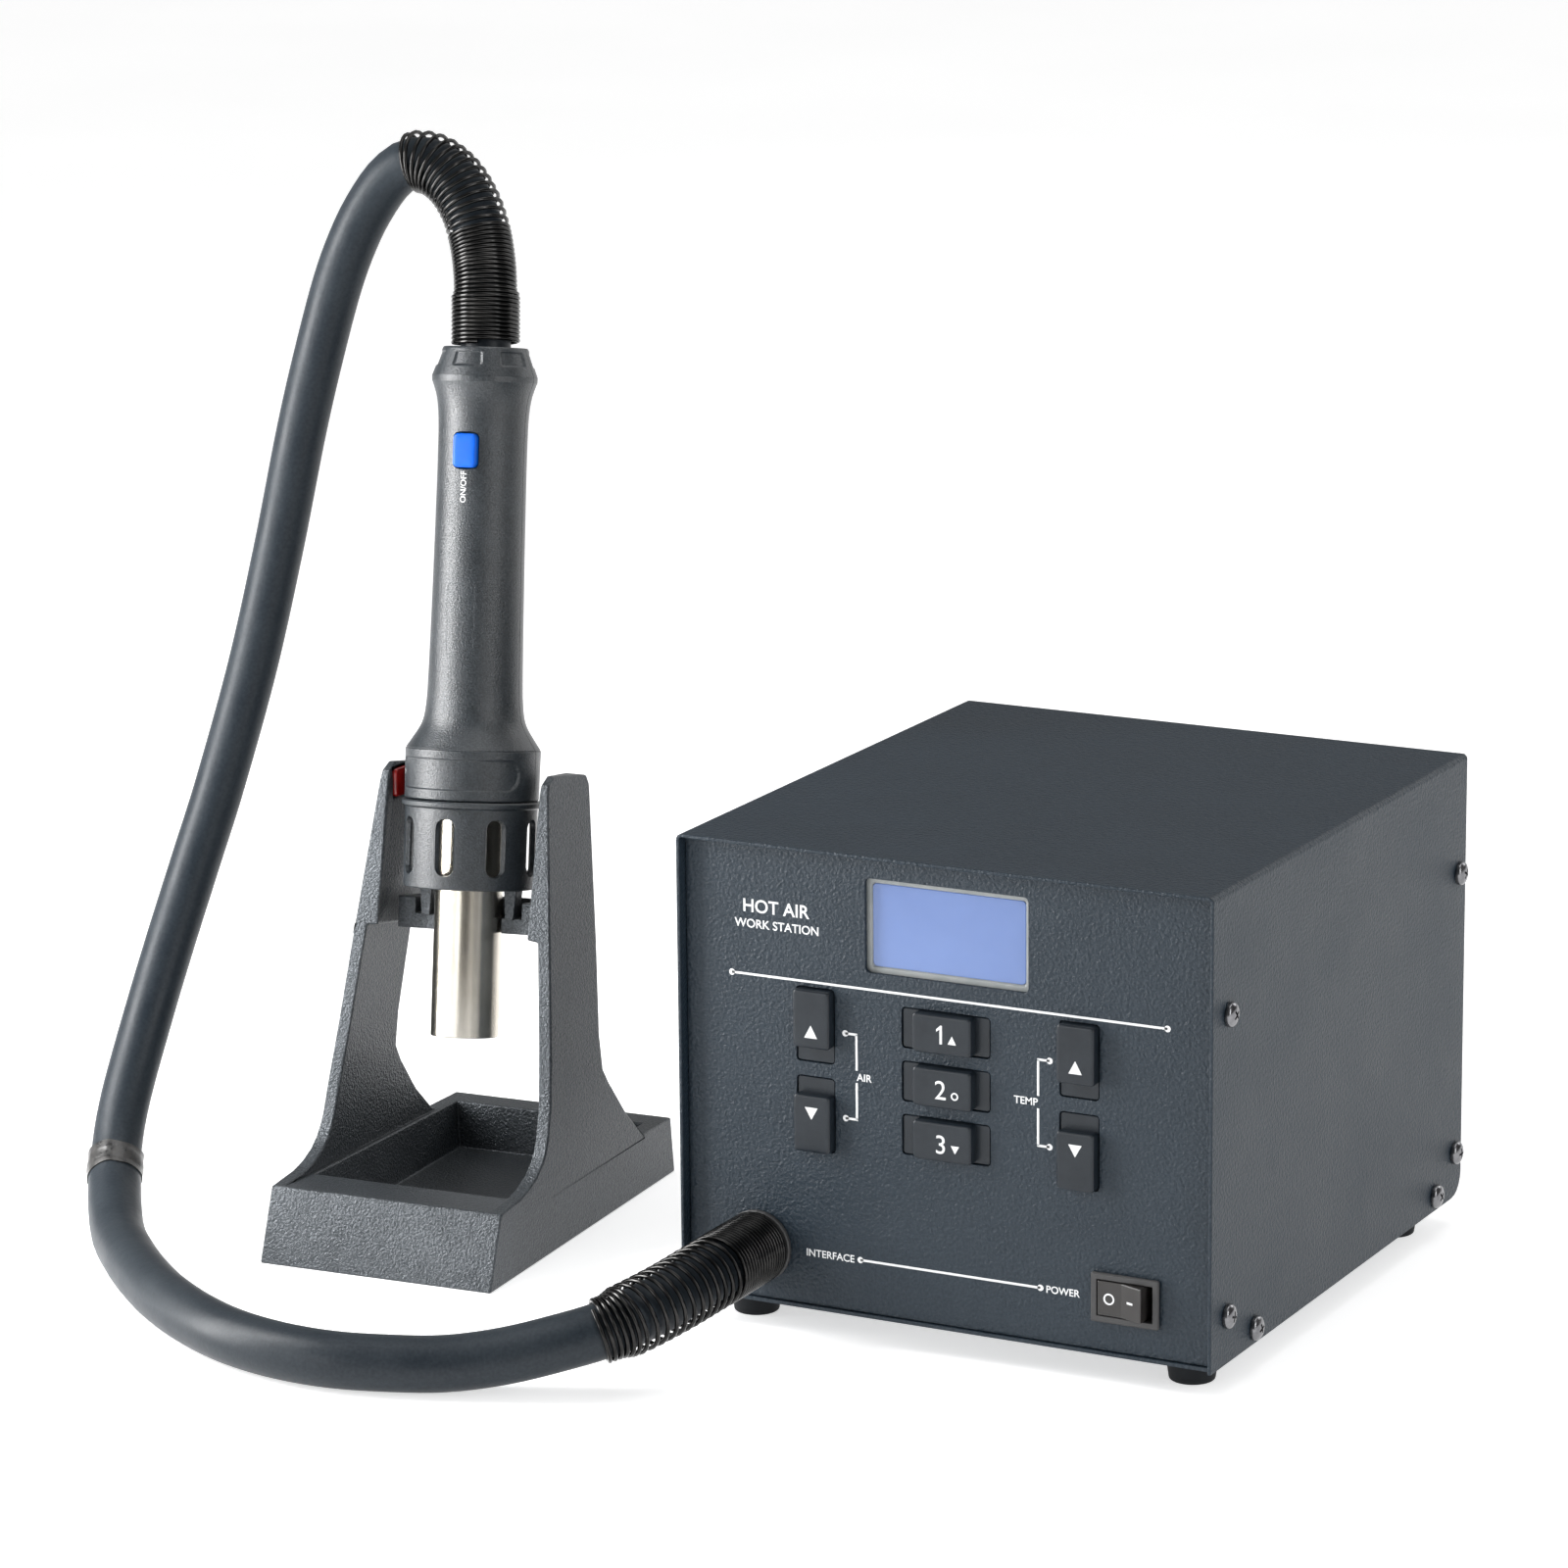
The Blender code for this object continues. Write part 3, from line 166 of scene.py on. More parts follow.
def loft(sections, bm=None, caps=True):
    """Joins loops of the same length, in order."""
    bm = bm or bmesh.new()
    rings = [[bm.verts.new(p) for p in section] for section in sections]
    for low, high in zip(rings, rings[1:]):
        for i in range(len(low)):
            j = (i + 1) % len(low)
            bm.faces.new((low[i], low[j], high[j], high[i]))
    if caps:
        bm.faces.new(reversed(rings[0]))
        bm.faces.new(rings[-1])
    return bm


def pad(outline_at, layers, bm=None):
    """A block that faces -Y: layers are (y, inset), and outline_at(inset) gives its outline as
    (x, z) points."""
    sections = [[(x, y, z) for x, z in outline_at(inset)] for y, inset in layers]
    return loft(sections, bm)


def join(bm, other):
    """Adds another bmesh to bm, and frees it."""
    part = bpy.data.meshes.new("part")
    other.to_mesh(part)
    other.free()
    bm.from_mesh(part)
    bpy.data.meshes.remove(part)


def mesh_of(name, bm, smooth=35):
    """smooth is the smallest turn, in degrees, that shows as an edge."""
    bmesh.ops.recalc_face_normals(bm, faces=bm.faces)
    mesh = bpy.data.meshes.new(name)
    bm.to_mesh(mesh)
    bm.free()
    mesh.shade_smooth()
    mesh.set_sharp_from_angle(angle=math.radians(smooth))
    return mesh


def place_piece(name, mesh, surface, body, at=None, stands_for=()):
    made = bpy.data.objects.new(name, mesh)
    bpy.context.scene.collection.objects.link(made)
    made.matrix_world = at or Matrix.Identity(4)
    if surface.name not in mesh.materials:
        mesh.materials.append(surface)
    if body:
        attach(made, body)
    if stands_for:
        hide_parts(*stands_for)
    return made


def piece(name, bm, surface, body, at=None, stands_for=(), smooth=35):
    return place_piece(name, mesh_of(name, bm, smooth), surface, body, at, stands_for)


def cut(target, bm):
    """Takes a bmesh, given in the target's own space, out of it."""
    tool = bpy.data.objects.new("tool", mesh_of("tool", bm))
    bpy.context.scene.collection.objects.link(tool)
    tool.matrix_world = target.matrix_world
    modifier = target.modifiers.new("cut", "BOOLEAN")
    modifier.object = tool
    bpy.context.view_layer.update()
    graph = bpy.context.evaluated_depsgraph_get()
    result = bpy.data.meshes.new_from_object(target.evaluated_get(graph))
    target.modifiers.clear()
    old, target.data = target.data, result
    result.name = target.name
    bpy.data.meshes.remove(old)
    bpy.data.objects.remove(tool, do_unlink=True)
    result.shade_smooth()
    result.set_sharp_from_angle(angle=math.radians(35))
    return target


def between(table, value):
    """Linear interpolation in a table of (place, value)."""
    if value <= table[0][0]:
        return table[0][1]
    for (a, low), (b, high) in zip(table, table[1:]):
        if value <= b:
            return low + (high - low) * (value - a) / (b - a)
    return table[-1][1]


def smoothstep(low, high, value):
    """Goes smoothly from 0 at low to 1 at high."""
    t = min(1.0, max(0.0, (value - low) / (high - low)))
    return t * t * (3 - 2 * t)


# ---- materials ----------------------------------------------------------------------------

def node(tree, kind, **settings):
    """Adds a shader node. A setting is the value of the socket of that name, with _ for a space,
    or else a property of the node."""
    made = tree.nodes.new(kind)
    for name, value in settings.items():
        socket = made.inputs.get(name.replace("_", " "))
        if socket is not None:
            socket.default_value = value
        else:
            setattr(made, name, value)
    return made


def finish(name, dark, light, rough, patch, grain=(), metallic=0.0, sockets=None, speck=None):
    """A material whose colour drifts between dark and light in patches of about 1/patch metres,
    and whose roughness drifts with it. grain lists its surface textures as (kind, scale, depth),
    kind being noise, cells or rings, with depth in metres. speck is the scale of fine specks
    between the two colours."""
    material = bpy.data.materials.new(name)
    material.use_nodes = True
    tree = material.node_tree
    shader = tree.nodes["Principled BSDF"]
    shader.inputs["Metallic"].default_value = metallic
    for socket, value in (sockets or {}).items():
        shader.inputs[socket].default_value = value
    place = node(tree, "ShaderNodeTexCoord").outputs["Object"]
    cloud = node(tree, "ShaderNodeTexNoise", Scale=patch, Detail=4.0, Roughness=0.6)
    tree.links.new(place, cloud.inputs["Vector"])
    ramp = node(tree, "ShaderNodeValToRGB")
    ramp.color_ramp.elements[0].position = 0.35
    ramp.color_ramp.elements[0].color = (*dark, 1)
    ramp.color_ramp.elements[1].position = 0.65
    ramp.color_ramp.elements[1].color = (*light, 1)
    shade = cloud.outputs["Fac"]
    if speck:
        specks = node(tree, "ShaderNodeTexNoise", Scale=speck, Detail=1.0)
        tree.links.new(place, specks.inputs["Vector"])
        both = node(tree, "ShaderNodeMix", data_type="FLOAT", Factor=0.6)
        tree.links.new(cloud.outputs["Fac"], both.inputs["A"])
        tree.links.new(specks.outputs["Fac"], both.inputs["B"])
        shade = both.outputs["Result"]
    tree.links.new(shade, ramp.inputs["Fac"])
    tree.links.new(ramp.outputs["Color"], shader.inputs["Base Color"])
    spread = node(tree, "ShaderNodeMapRange", From_Min=0.3, From_Max=0.7, To_Min=rough[0],
                  To_Max=rough[1])
    tree.links.new(cloud.outputs["Fac"], spread.inputs["Value"])
    tree.links.new(spread.outputs["Result"], shader.inputs["Roughness"])

    normal = None
    for kind, scale, depth in grain:
        if kind == "noise":
            texture = node(tree, "ShaderNodeTexNoise", Scale=scale, Detail=2.0)
            height = texture.outputs["Fac"]
        elif kind == "cells":
            texture = node(tree, "ShaderNodeTexVoronoi", Scale=scale)
            height = texture.outputs["Distance"]
        else:
            texture = node(tree, "ShaderNodeTexWave", Scale=scale, Distortion=0.6, Detail=2.0,
                           bands_direction="Z")
            height = texture.outputs["Fac"]
        tree.links.new(place, texture.inputs["Vector"])
        bump = node(tree, "ShaderNodeBump", Distance=depth, Strength=1.0)
        tree.links.new(height, bump.inputs["Height"])
        if normal:
            tree.links.new(normal, bump.inputs["Normal"])
        normal = bump.outputs["Normal"]
    if normal:
        tree.links.new(normal, shader.inputs["Normal"])
    return material


POWDER = finish("powder_coat_texture", (0.008, 0.017, 0.027), (0.018, 0.029, 0.041),
                (0.40, 0.48), 30, (("noise", 850, 0.0005), ("noise", 2300, 0.0001)),
                sockets={"Specular IOR Level": 0.36}, speck=1100)
STAND_PAINT = finish("stand_paint", (0.030, 0.036, 0.042), (0.074, 0.083, 0.092), (0.30, 0.38), 50,
                     (("noise", 1150, 0.0004), ("cells", 2400, 0.0001)), metallic=0.4,
                     sockets={"Specular IOR Level": 0.6}, speck=1300)
HANDLE_PLASTIC = finish("handle_plastic_texture", (0.006, 0.009, 0.012), (0.031, 0.038, 0.044),
                        (0.28, 0.34), 70, (("noise", 1700, 0.00017), ("noise", 3400, 0.00004)),
                        sockets={"Specular IOR Level": 0.7}, speck=1500)
KEY_PLASTIC = finish("key_plastic_satin", (0.008, 0.012, 0.017), (0.013, 0.018, 0.024),
                     (0.28, 0.36), 120, (("noise", 1600, 0.00004),),
                     sockets={"Specular IOR Level": 0.36})
RUBBER = finish("hose_rubber_satin", (0.010, 0.015, 0.021), (0.018, 0.025, 0.032),
                (0.38, 0.50), 45, (("noise", 180, 0.00012), ("noise", 1800, 0.00004)),
                sockets={"Sheen Weight": 0.03, "Sheen Roughness": 0.5,
                         "Specular IOR Level": 0.27}, speck=900)
FOOT_RUBBER = finish("foot_rubber_matte", (0.005, 0.006, 0.008), (0.010, 0.012, 0.014),
                     (0.62, 0.74), 150, (("noise", 2500, 0.00002),),
                     sockets={"Specular IOR Level": 0.2})
SPRING = finish("spring_black_oxide", (0.022, 0.022, 0.022), (0.045, 0.044, 0.043), (0.14, 0.22),
                200, (("noise", 1500, 0.00001),), metallic=1.0)
SCREW = finish("screw_black_nickel", (0.18, 0.18, 0.19), (0.26, 0.26, 0.27), (0.18, 0.28), 400,
               (("noise", 3000, 0.000006),), metallic=1.0)
STEEL = finish("tube_brushed_steel", (0.58, 0.53, 0.44), (0.74, 0.70, 0.63), (0.13, 0.19), 14,
               (("rings", 5200, 0.000004), ("noise", 900, 0.000003)), metallic=1.0,
               sockets={"Anisotropic": 0.5})
MICA = finish("mica_sheet", (0.36, 0.27, 0.16), (0.52, 0.42, 0.28), (0.35, 0.6), 260,
              (("noise", 900, 0.00004),))
CERAMIC = finish("heater_ceramic", (0.70, 0.66, 0.58), (0.82, 0.79, 0.72), (0.6, 0.75), 200,
                 (("noise", 2200, 0.00003),))
BOARD = finish("circuit_board_mask", (0.012, 0.090, 0.035), (0.020, 0.130, 0.055), (0.3, 0.42), 90,
               (("cells", 700, 0.00003),))
BLOWER = finish("blower_moulded", (0.026, 0.027, 0.029), (0.036, 0.037, 0.040), (0.42, 0.52), 90,
                (("noise", 1800, 0.00003),))
ROTOR = finish("rotor_moulded", (0.48, 0.48, 0.46), (0.58, 0.58, 0.56), (0.42, 0.52), 90,
               (("noise", 1800, 0.00002),))
SILICONE = finish("silicone_sleeve", (0.54, 0.52, 0.48), (0.66, 0.64, 0.60), (0.5, 0.62), 80,
                  (("noise", 1200, 0.00003),))
IRON = finish("transformer_varnish", (0.10, 0.085, 0.07), (0.20, 0.18, 0.16), (0.3, 0.5), 160,
              (("rings", 1200, 0.00006),), metallic=0.7)
SWITCH = finish("switch_moulded", (0.020, 0.018, 0.017), (0.027, 0.025, 0.024), (0.34, 0.44), 120,
                (("noise", 3200, 0.000012),))
BEZEL = finish("switch_bezel", (0.036, 0.036, 0.037), (0.046, 0.046, 0.047), (0.46, 0.56), 120,
               (("noise", 2400, 0.00003),))
INLET = finish("inlet_moulded", (0.012, 0.012, 0.013), (0.018, 0.018, 0.019), (0.36, 0.46), 140,
               (("noise", 2600, 0.00002),))
RED = finish("magnet_insert_gloss", (0.26, 0.004, 0.003), (0.46, 0.010, 0.008), (0.12, 0.2), 300,
             (("noise", 900, 0.00001),), sockets={"Coat Weight": 0.6})
BLUE = finish("button_blue", (0.0, 0.085, 0.50), (0.0, 0.105, 0.62), (0.30, 0.38), 160,
              (("noise", 3200, 0.000008),), sockets={"Specular IOR Level": 0.3})
PRINT = finish("white_printing", (0.74, 0.75, 0.76), (0.84, 0.85, 0.86), (0.5, 0.6), 400,
               (("noise", 3000, 0.00001),))
TAPE = finish("tape_film", (0.014, 0.014, 0.014), (0.045, 0.043, 0.041), (0.22, 0.5), 420,
              (("noise", 700, 0.00006), ("cells", 1500, 0.00002)), sockets={"Coat Weight": 0.15})
DISPLAY_FRAME = finish("display_frame_moulded", (0.24, 0.26, 0.26), (0.30, 0.31, 0.31),
                       (0.42, 0.5), 140, (("noise", 2600, 0.00001),))


def display_glass():
    """A lit blue liquid crystal display: a faint grid of cells under a glossy window."""
    material = finish("display_blue", (0.095, 0.15, 0.33), (0.115, 0.18, 0.38), (0.10, 0.14), 18,
                      sockets={"Coat Weight": 0.4, "Coat Roughness": 0.04,
                               "Emission Strength": 0.12, "Emission Color": (0.22, 0.36, 0.85, 1)})
    tree = material.node_tree
    place = tree.nodes["Texture Coordinate"].outputs["Object"]
    lines = []
    for direction in ("X", "Z"):
        wave = node(tree, "ShaderNodeTexWave", Scale=330.0, bands_direction=direction)
        tree.links.new(place, wave.inputs["Vector"])
        lines.append(wave.outputs["Fac"])
    grid = node(tree, "ShaderNodeMath", operation="MAXIMUM")
    tree.links.new(lines[0], grid.inputs[0])
    tree.links.new(lines[1], grid.inputs[1])
    bump = node(tree, "ShaderNodeBump", Distance=0.00001, Strength=0.4)
    tree.links.new(grid.outputs["Value"], bump.inputs["Height"])
    tree.links.new(bump.outputs["Normal"], tree.nodes["Principled BSDF"].inputs["Normal"])
    return material


GLASS = display_glass()

# ---- hose and springs ---------------------------------------------------------------------

# The hose's route in cabinet millimetres: out of the socket, down on to the bench in front of
# the stand, round its left side, up, and over into the handpiece.
HOSE_ROUTE = (
    (26.6, 1.9, 18.8), (26.6, -6, 18.8), (26.2, -15, 18.5), (24.7, -30, 17.4), (20.6, -50, 14.7),
    (12.5, -69, 11), (-1, -78.5, 6.6), (-17, -86.5, 2.2), (-33.5, -94, -0.4),
    (-50, -100.5, -0.8), (-69, -105.5, -0.8), (-89, -105.3, -0.8), (-109.5, -100.3, -0.8),
    (-129.6, -90.7, -0.8), (-149.6, -77.6, -0.8), (-167.5, -62.7, -0.8), (-184.6, -46.1, -0.8),
    (-200.5, -28.8, 0.2), (-214.2, -10, 6.5), (-222.8, 5, 17.5), (-226.6, 17, 31.8),
    (-227.4, 33, 55.6), (-225.3, 46, 80.7), (-221.6, 57.5, 106.5), (-217, 67.5, 132.5),
    (-210.2, 80, 172.5), (-204.2, 89.5, 212.8), (-198.2, 97, 253.3), (-193.2, 102, 280.2),
    (-187.2, 106, 305), (-181.7, 109.2, 321), (-176.8, 112, 331.4), (-170.8, 114.5, 340.2),
    (-163.5, 116.5, 345.5), (-155.2, 117.6, 345.4), (-146.6, 117.2, 340.4), (-139.8, 115.6, 332.6),
    (-135.4, 113.5, 324.5), (-132.2, 111, 315.5), (-129.8, 107.8, 304.8),
)
HOSE_TOP = HAND @ Vector((0, 0, 0.2300))
# The hose's two pipes meet under the tape, at this share of the length. The cord's diameter is
# between theirs.
HOSE_R, HOSE_THIN_R, HOSE_D = 0.0091, 0.0086, 0.0178
TAPE_AT = 0.4435
TAPE_WIDTH = 0.0102


def hose_line():
    """The route as close, even points, with a frame that turns as little as it can: each point
    comes as (place, ahead, side, across)."""
    step, fineness = 0.0005, 60
    own = [*[cab(*p) for p in HOSE_ROUTE], HOSE_TOP]
    ends = [2 * own[0] - own[1], *own, 2 * own[-1] - own[-2]]
    fine = []
    for a, b, c, d in zip(ends, ends[1:], ends[2:], ends[3:]):
        for k in range(fineness):
            t = k / fineness
            fine.append(0.5 * (2 * b + (c - a) * t + (2 * a - 5 * b + 4 * c - d) * t * t
                               + (3 * b - a - 3 * c + d) * t ** 3))
    fine.append(own[-1])
    reach = [0.0]
    for a, b in zip(fine, fine[1:]):
        reach.append(reach[-1] + (b - a).length)
    count = round(reach[-1] / step)
    places = []
    i = 1
    for k in range(count + 1):
        distance = reach[-1] * k / count
        while i < len(reach) - 1 and reach[i] < distance:
            i += 1
        share = (distance - reach[i - 1]) / (reach[i] - reach[i - 1])
        places.append(fine[i - 1].lerp(fine[i], min(1, max(0, share))))
    line = []
    side = Vector((0.3, 0.2, 0.9))
    for k, place in enumerate(places):
        ahead = (places[min(k + 1, count)] - places[max(k - 1, 0)]).normalized()
        side = (side - ahead * side.dot(ahead)).normalized()
        line.append((place, ahead, side, ahead.cross(side)))
    return line, reach[-1]


HOSE_LINE, HOSE_LENGTH = hose_line()


def hose_frame(distance):
    """The hose's centreline frame at a distance along it, between two of its close points."""
    spot = min(max(distance / HOSE_LENGTH, 0), 1) * (len(HOSE_LINE) - 1)
    k = min(int(spot), len(HOSE_LINE) - 2)
    near, far = HOSE_LINE[k], HOSE_LINE[k + 1]
    return [a.lerp(b, spot - k) for a, b in zip(near, far)]


def swept(stations, sides):
    """A closed tube through (place, side, across, radius) stations."""
    sections = []
    for place, side, across, radius in stations:
        loop = []
        for k in range(sides):
            angle = TAU * k / sides
            loop.append(place + radius * (math.cos(angle) * side + math.sin(angle) * across))
        sections.append(loop)
    return loft(sections)


def hose():
    """The whole hose as one tube, and the points of its centreline."""
    tape = TAPE_AT * HOSE_LENGTH
    count = round(HOSE_LENGTH / 0.004)
    stations, path = [], []
    for k in range(count + 1):
        distance = HOSE_LENGTH * k / count
        place, _, side, across = hose_frame(distance)
        share = smoothstep(tape - 0.0015, tape + 0.0015, distance)
        stations.append((place, side, across, HOSE_R + (HOSE_THIN_R - HOSE_R) * share))
        path.append(place)
    made = piece("hose", swept(stations, 40), RUBBER, None, smooth=60,
                 stands_for=("hose_lower", "hose_middle", "hose_upper"))
    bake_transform(made)
    return made, path


def coil(turns, wire, centre_radius):
    """A spring on the hose. turns is a table of (turn number, distance along the hose), wire is
    the wire's radius, and centre_radius a table of (turn number, radius of the wire's line)."""
    steps, sides = 26, 10
    first, last = turns[0][0], turns[-1][0]
    count = round((last - first) * steps)
    line = []
    for k in range(count + 1):
        turn = first + (last - first) * k / count
        place, _, side, across = hose_frame(between(turns, turn))
        angle = TAU * turn
        out = math.cos(angle) * side + math.sin(angle) * across
        line.append((place + between(centre_radius, turn) * out, out))
    stations = []
    for k, (place, out) in enumerate(line):
        ahead = (line[min(k + 1, count)][0] - line[max(k - 1, 0)][0]).normalized()
        stations.append((place, out, ahead.cross(out), wire))
    return swept(stations, sides)


def springs():
    """Each spring is wound close, then open, and its last turns grip the hose."""
    wire = 0.00075
    turns = ((0, 0.0008), (16, 0.0250), (28, 0.0690), (34, 0.0782))
    radii = ((0, 0.0120 - wire), (28, 0.0120 - wire), (31, 0.0108 - wire), (34, 0.0108 - wire))
    station = piece("spring_by_panel", coil(turns, wire, radii), SPRING, "station", smooth=60,
                    stands_for=("spring_station",))
    wire = 0.0007
    end = HOSE_LENGTH - 0.0042
    turns = ((0, end), (12, end - 0.0170), (27, end - 0.0382), (41, end - 0.0752),
             (42.5, end - 0.0774))
    radii = ((0, 0.0118 - wire), (11.5, 0.0118 - wire), (12.5, 0.0109 - wire),
             (41, 0.0109 - wire), (42.5, 0.0101 - wire))
    guard = piece("spring_by_handle", coil(turns, wire, radii), SPRING, "handpiece", smooth=60,
                  stands_for=("spring_handle",))
    return station, guard


def tape_band():
    """A few turns of film round the joint of the hose's two pipes, its edges slightly uneven."""
    middle = TAPE_AT * HOSE_LENGTH
    sides, layers = 48, 14

    def loop_at(share, lift, ripple):
        loop = []
        for i in range(sides):
            angle = TAU * i / sides
            edge = 0.0004 * math.sin(3 * angle + 1.3) + 0.0002 * math.sin(7 * angle)
            place, _, side, across = hose_frame(middle + (share - 0.5) * TAPE_WIDTH + edge)
            radius = HOSE_R + lift + ripple * math.sin(2 * angle + 9 * share)
            loop.append(place + radius * (math.cos(angle) * side + math.sin(angle) * across))
        return loop

    sections = []
    for k in range(layers + 1):
        share = k / layers
        sections.append(loop_at(share, 0.00057 if 0.3 < share < 0.75 else 0.00045, 0.0001))
    sections += [loop_at(1, 0.0001, 0), loop_at(0, 0.0001, 0), sections[0]]
    bm = loft(sections, caps=False)
    bmesh.ops.remove_doubles(bm, verts=bm.verts, dist=TINY)
    return piece("tape_wrap", bm, TAPE, "station", smooth=50, stands_for=("hose_tape",))


HOSE, HOSE_PATH = hose()
SPRINGS = springs()
TAPE_WRAP = tape_band()

# ---- handpiece ----------------------------------------------------------------------------

# Outer radius of the handle's shells, as (height, radius): the straight band, the flowing grip,
# and the collar.
BAND_R, BAND_TOP = 0.0228, 0.0969
GRIP = ((0.0969, 0.02285), (0.0990, 0.0214), (0.1050, 0.0178), (0.1105, 0.0166),
        (0.1190, 0.0161), (0.1515, 0.0155), (0.1790, 0.0152), (0.1960, 0.0151), (0.2090, 0.0153),
        (0.2160, 0.0161), (0.2208, 0.0176))
COLLAR = ((0.2208, 0.0176), (0.2211, 0.0178), (0.2230, 0.0179), (0.2235, 0.0177),
          (0.2325, 0.01445), (0.2329, 0.0140))
SHELL_BOTTOM, SHELL_TOP, SHELL_T = 0.0797, 0.2329, 0.0022
HALF_GAP = 0.00012
# Shallow panels in that surface, as (height of the middle, radius there, half width, half height,
# corner radius, depth, width of the slope inside the outline).
BAND_PANEL = (0.0886, 0.0229, 0.0265, 0.0052, 0.0052, 0.0005, 0.0003)
GRIP_PANEL = (0.1415, 0.0155, 0.0050, 0.0115, 0.0012, 0.00012, 0.0002)
COLLAR_WINDOW = (0.22885, 0.0160, 0.0052, 0.00245, 0.0006, 0.0006, 0.0005)
COLLAR_WINDOWS = 6
TUBE_R, TUBE_WALL = 0.0116, 0.0007
BUTTON_W, BUTTON_H, BUTTON_Z = 0.0086, 0.0116, 0.1978
SKIRT_BOTTOM, SKIRT_TOP, SKIRT_R, SKIRT_WALL = 0.0496, 0.0794, 0.0224, 0.0018
SLOT_LOW, SLOT_HIGH, SLOT_W, SLOTS = 0.0544, 0.0734, 0.0054, 8


def flowing(table, value):
    """Smooth interpolation through a table of (place, value)."""
    for i in range(len(table) - 1):
        (a, low), (b, high) = table[i], table[i + 1]
        if value > b and i < len(table) - 2:
            continue
        before, after = table[max(i - 1, 0)], table[min(i + 2, len(table) - 1)]
        slope_a = (high - before[1]) / (b - before[0])
        slope_b = (after[1] - low) / (after[0] - a)
        t = (value - a) / (b - a)
        run = b - a
        return ((2 * t ** 3 - 3 * t ** 2 + 1) * low + (t ** 3 - 2 * t ** 2 + t) * run * slope_a
                + (3 * t ** 2 - 2 * t ** 3) * high + (t ** 3 - t ** 2) * run * slope_b)
    return table[-1][1]


def slab(u, v, half_u, half_v, radius):
    """Distance outside a rectangle with round corners, negative inside."""
    qu, qv = abs(u) - half_u + radius, abs(v) - half_v + radius
    return math.hypot(max(qu, 0), max(qv, 0)) + min(max(qu, qv), 0) - radius


def sunk(panel, angle, height):
    """How deep a shallow panel is at a place on the surface."""
    middle, radius, half_w, half_h, corner, depth, slope = panel
    outside = slab(radius * angle, height - middle, half_w, half_h, corner)
    return depth * smoothstep(0.0002, -slope, outside)


def shell_radius(height, angle):
    """angle is 0 at the handpiece's front."""
    if height < BAND_TOP:
        radius = BAND_R + 0.0002 * (height - SHELL_BOTTOM) / (BAND_TOP - SHELL_BOTTOM)
        radius -= 0.0004 * smoothstep(SHELL_BOTTOM + 0.0005, SHELL_BOTTOM, height)
        radius -= 0.0004 * smoothstep(BAND_TOP - 0.0004, BAND_TOP, height)
        return radius - sunk(BAND_PANEL, angle, height)
    if height < COLLAR[0][0]:
        return flowing(GRIP, height) - sunk(GRIP_PANEL, angle, height)
    step = TAU / COLLAR_WINDOWS
    near = (angle + step / 2) % step - step / 2
    return between(COLLAR, height) - sunk(COLLAR_WINDOW, near, height)


def shell_rows():
    """Heights of the shell's rings, close together where it has detail."""
    rows = []
    for low, high, step in ((SHELL_BOTTOM, 0.0986, 0.00025), (0.0986, 0.127, 0.0010),
                            (0.127, 0.1315, 0.0004), (0.1315, 0.1515, 0.0025),
                            (0.1515, 0.156, 0.0004), (0.156, 0.2208, 0.0020),
                            (0.2208, SHELL_TOP, 0.00025)):
        count = max(1, round((high - low) / step))
        rows += [low + (high - low) * k / count for k in range(count)]
    return [*rows, SHELL_TOP]


def handle_shell(name, node_name, front):
    """Half of the handle, split on its axis."""
    columns = 110
    hole_low, hole_high = TUBE_R + 0.0006, HOSE_THIN_R + 0.0006
    rows = shell_rows()
    back_rows = [h for h in rows[::8] if SHELL_BOTTOM + SHELL_T < h < SHELL_TOP - SHELL_T]
    bm = bmesh.new()
    rings = []
    for k in range(columns + 1):
        angle = -math.pi / 2 + math.pi * k / columns + (0 if front else math.pi)
        profile = [(hole_low, SHELL_BOTTOM)]
        profile += [(shell_radius(h, (angle + math.pi) % TAU - math.pi), h) for h in rows]
        profile += [(hole_high, SHELL_TOP), (hole_high, SHELL_TOP - SHELL_T)]
        profile += [(shell_radius(h, math.pi) - SHELL_T, h) for h in reversed(back_rows)]
        profile += [(hole_low, SHELL_BOTTOM + SHELL_T)]
        turn = angle - math.pi / 2
        rings.append([bm.verts.new((r * math.cos(turn), r * math.sin(turn), h))
                      for r, h in profile])
    count = len(rings[0])
    for near, far in zip(rings, rings[1:]):
        for i in range(count):
            j = (i + 1) % count
            bm.faces.new((near[i], near[j], far[j], far[i]))
    bm.faces.new(rings[0])
    bm.faces.new(rings[-1])
    bmesh.ops.translate(bm, verts=bm.verts, vec=(0, -HALF_GAP if front else HALF_GAP, 0))
    made = piece(name, bm, HANDLE_PLASTIC, "handpiece", HAND, (node_name,))
    if front:
        def opening(inset):
            return rounded(BUTTON_W + 0.0008 + 2 * inset, BUTTON_H + 0.0008 + 2 * inset,
                           0.0020 + inset, (0, BUTTON_Z))

        cut(made, pad(opening, ((-0.0105, 0), (-0.0149, 0), (-0.0160, 0.0008))))
    return made


def handle_button():
    def outline(inset):
        return rounded(BUTTON_W - 2 * inset, BUTTON_H - 2 * inset, 0.0018 - 0.8 * inset,
                       (0, BUTTON_Z))

    layers = ((-0.0110, 0), (-0.0154, 0), (-0.0158, 0.00012), (-0.0161, 0.0004),
              (-0.01622, 0.0009), (-0.01630, 0.0020), (-0.01634, 0.0034))
    piece("button_cap", pad(outline, layers), BLUE, "handle_button", HAND, ("handle_button",),
          smooth=40)


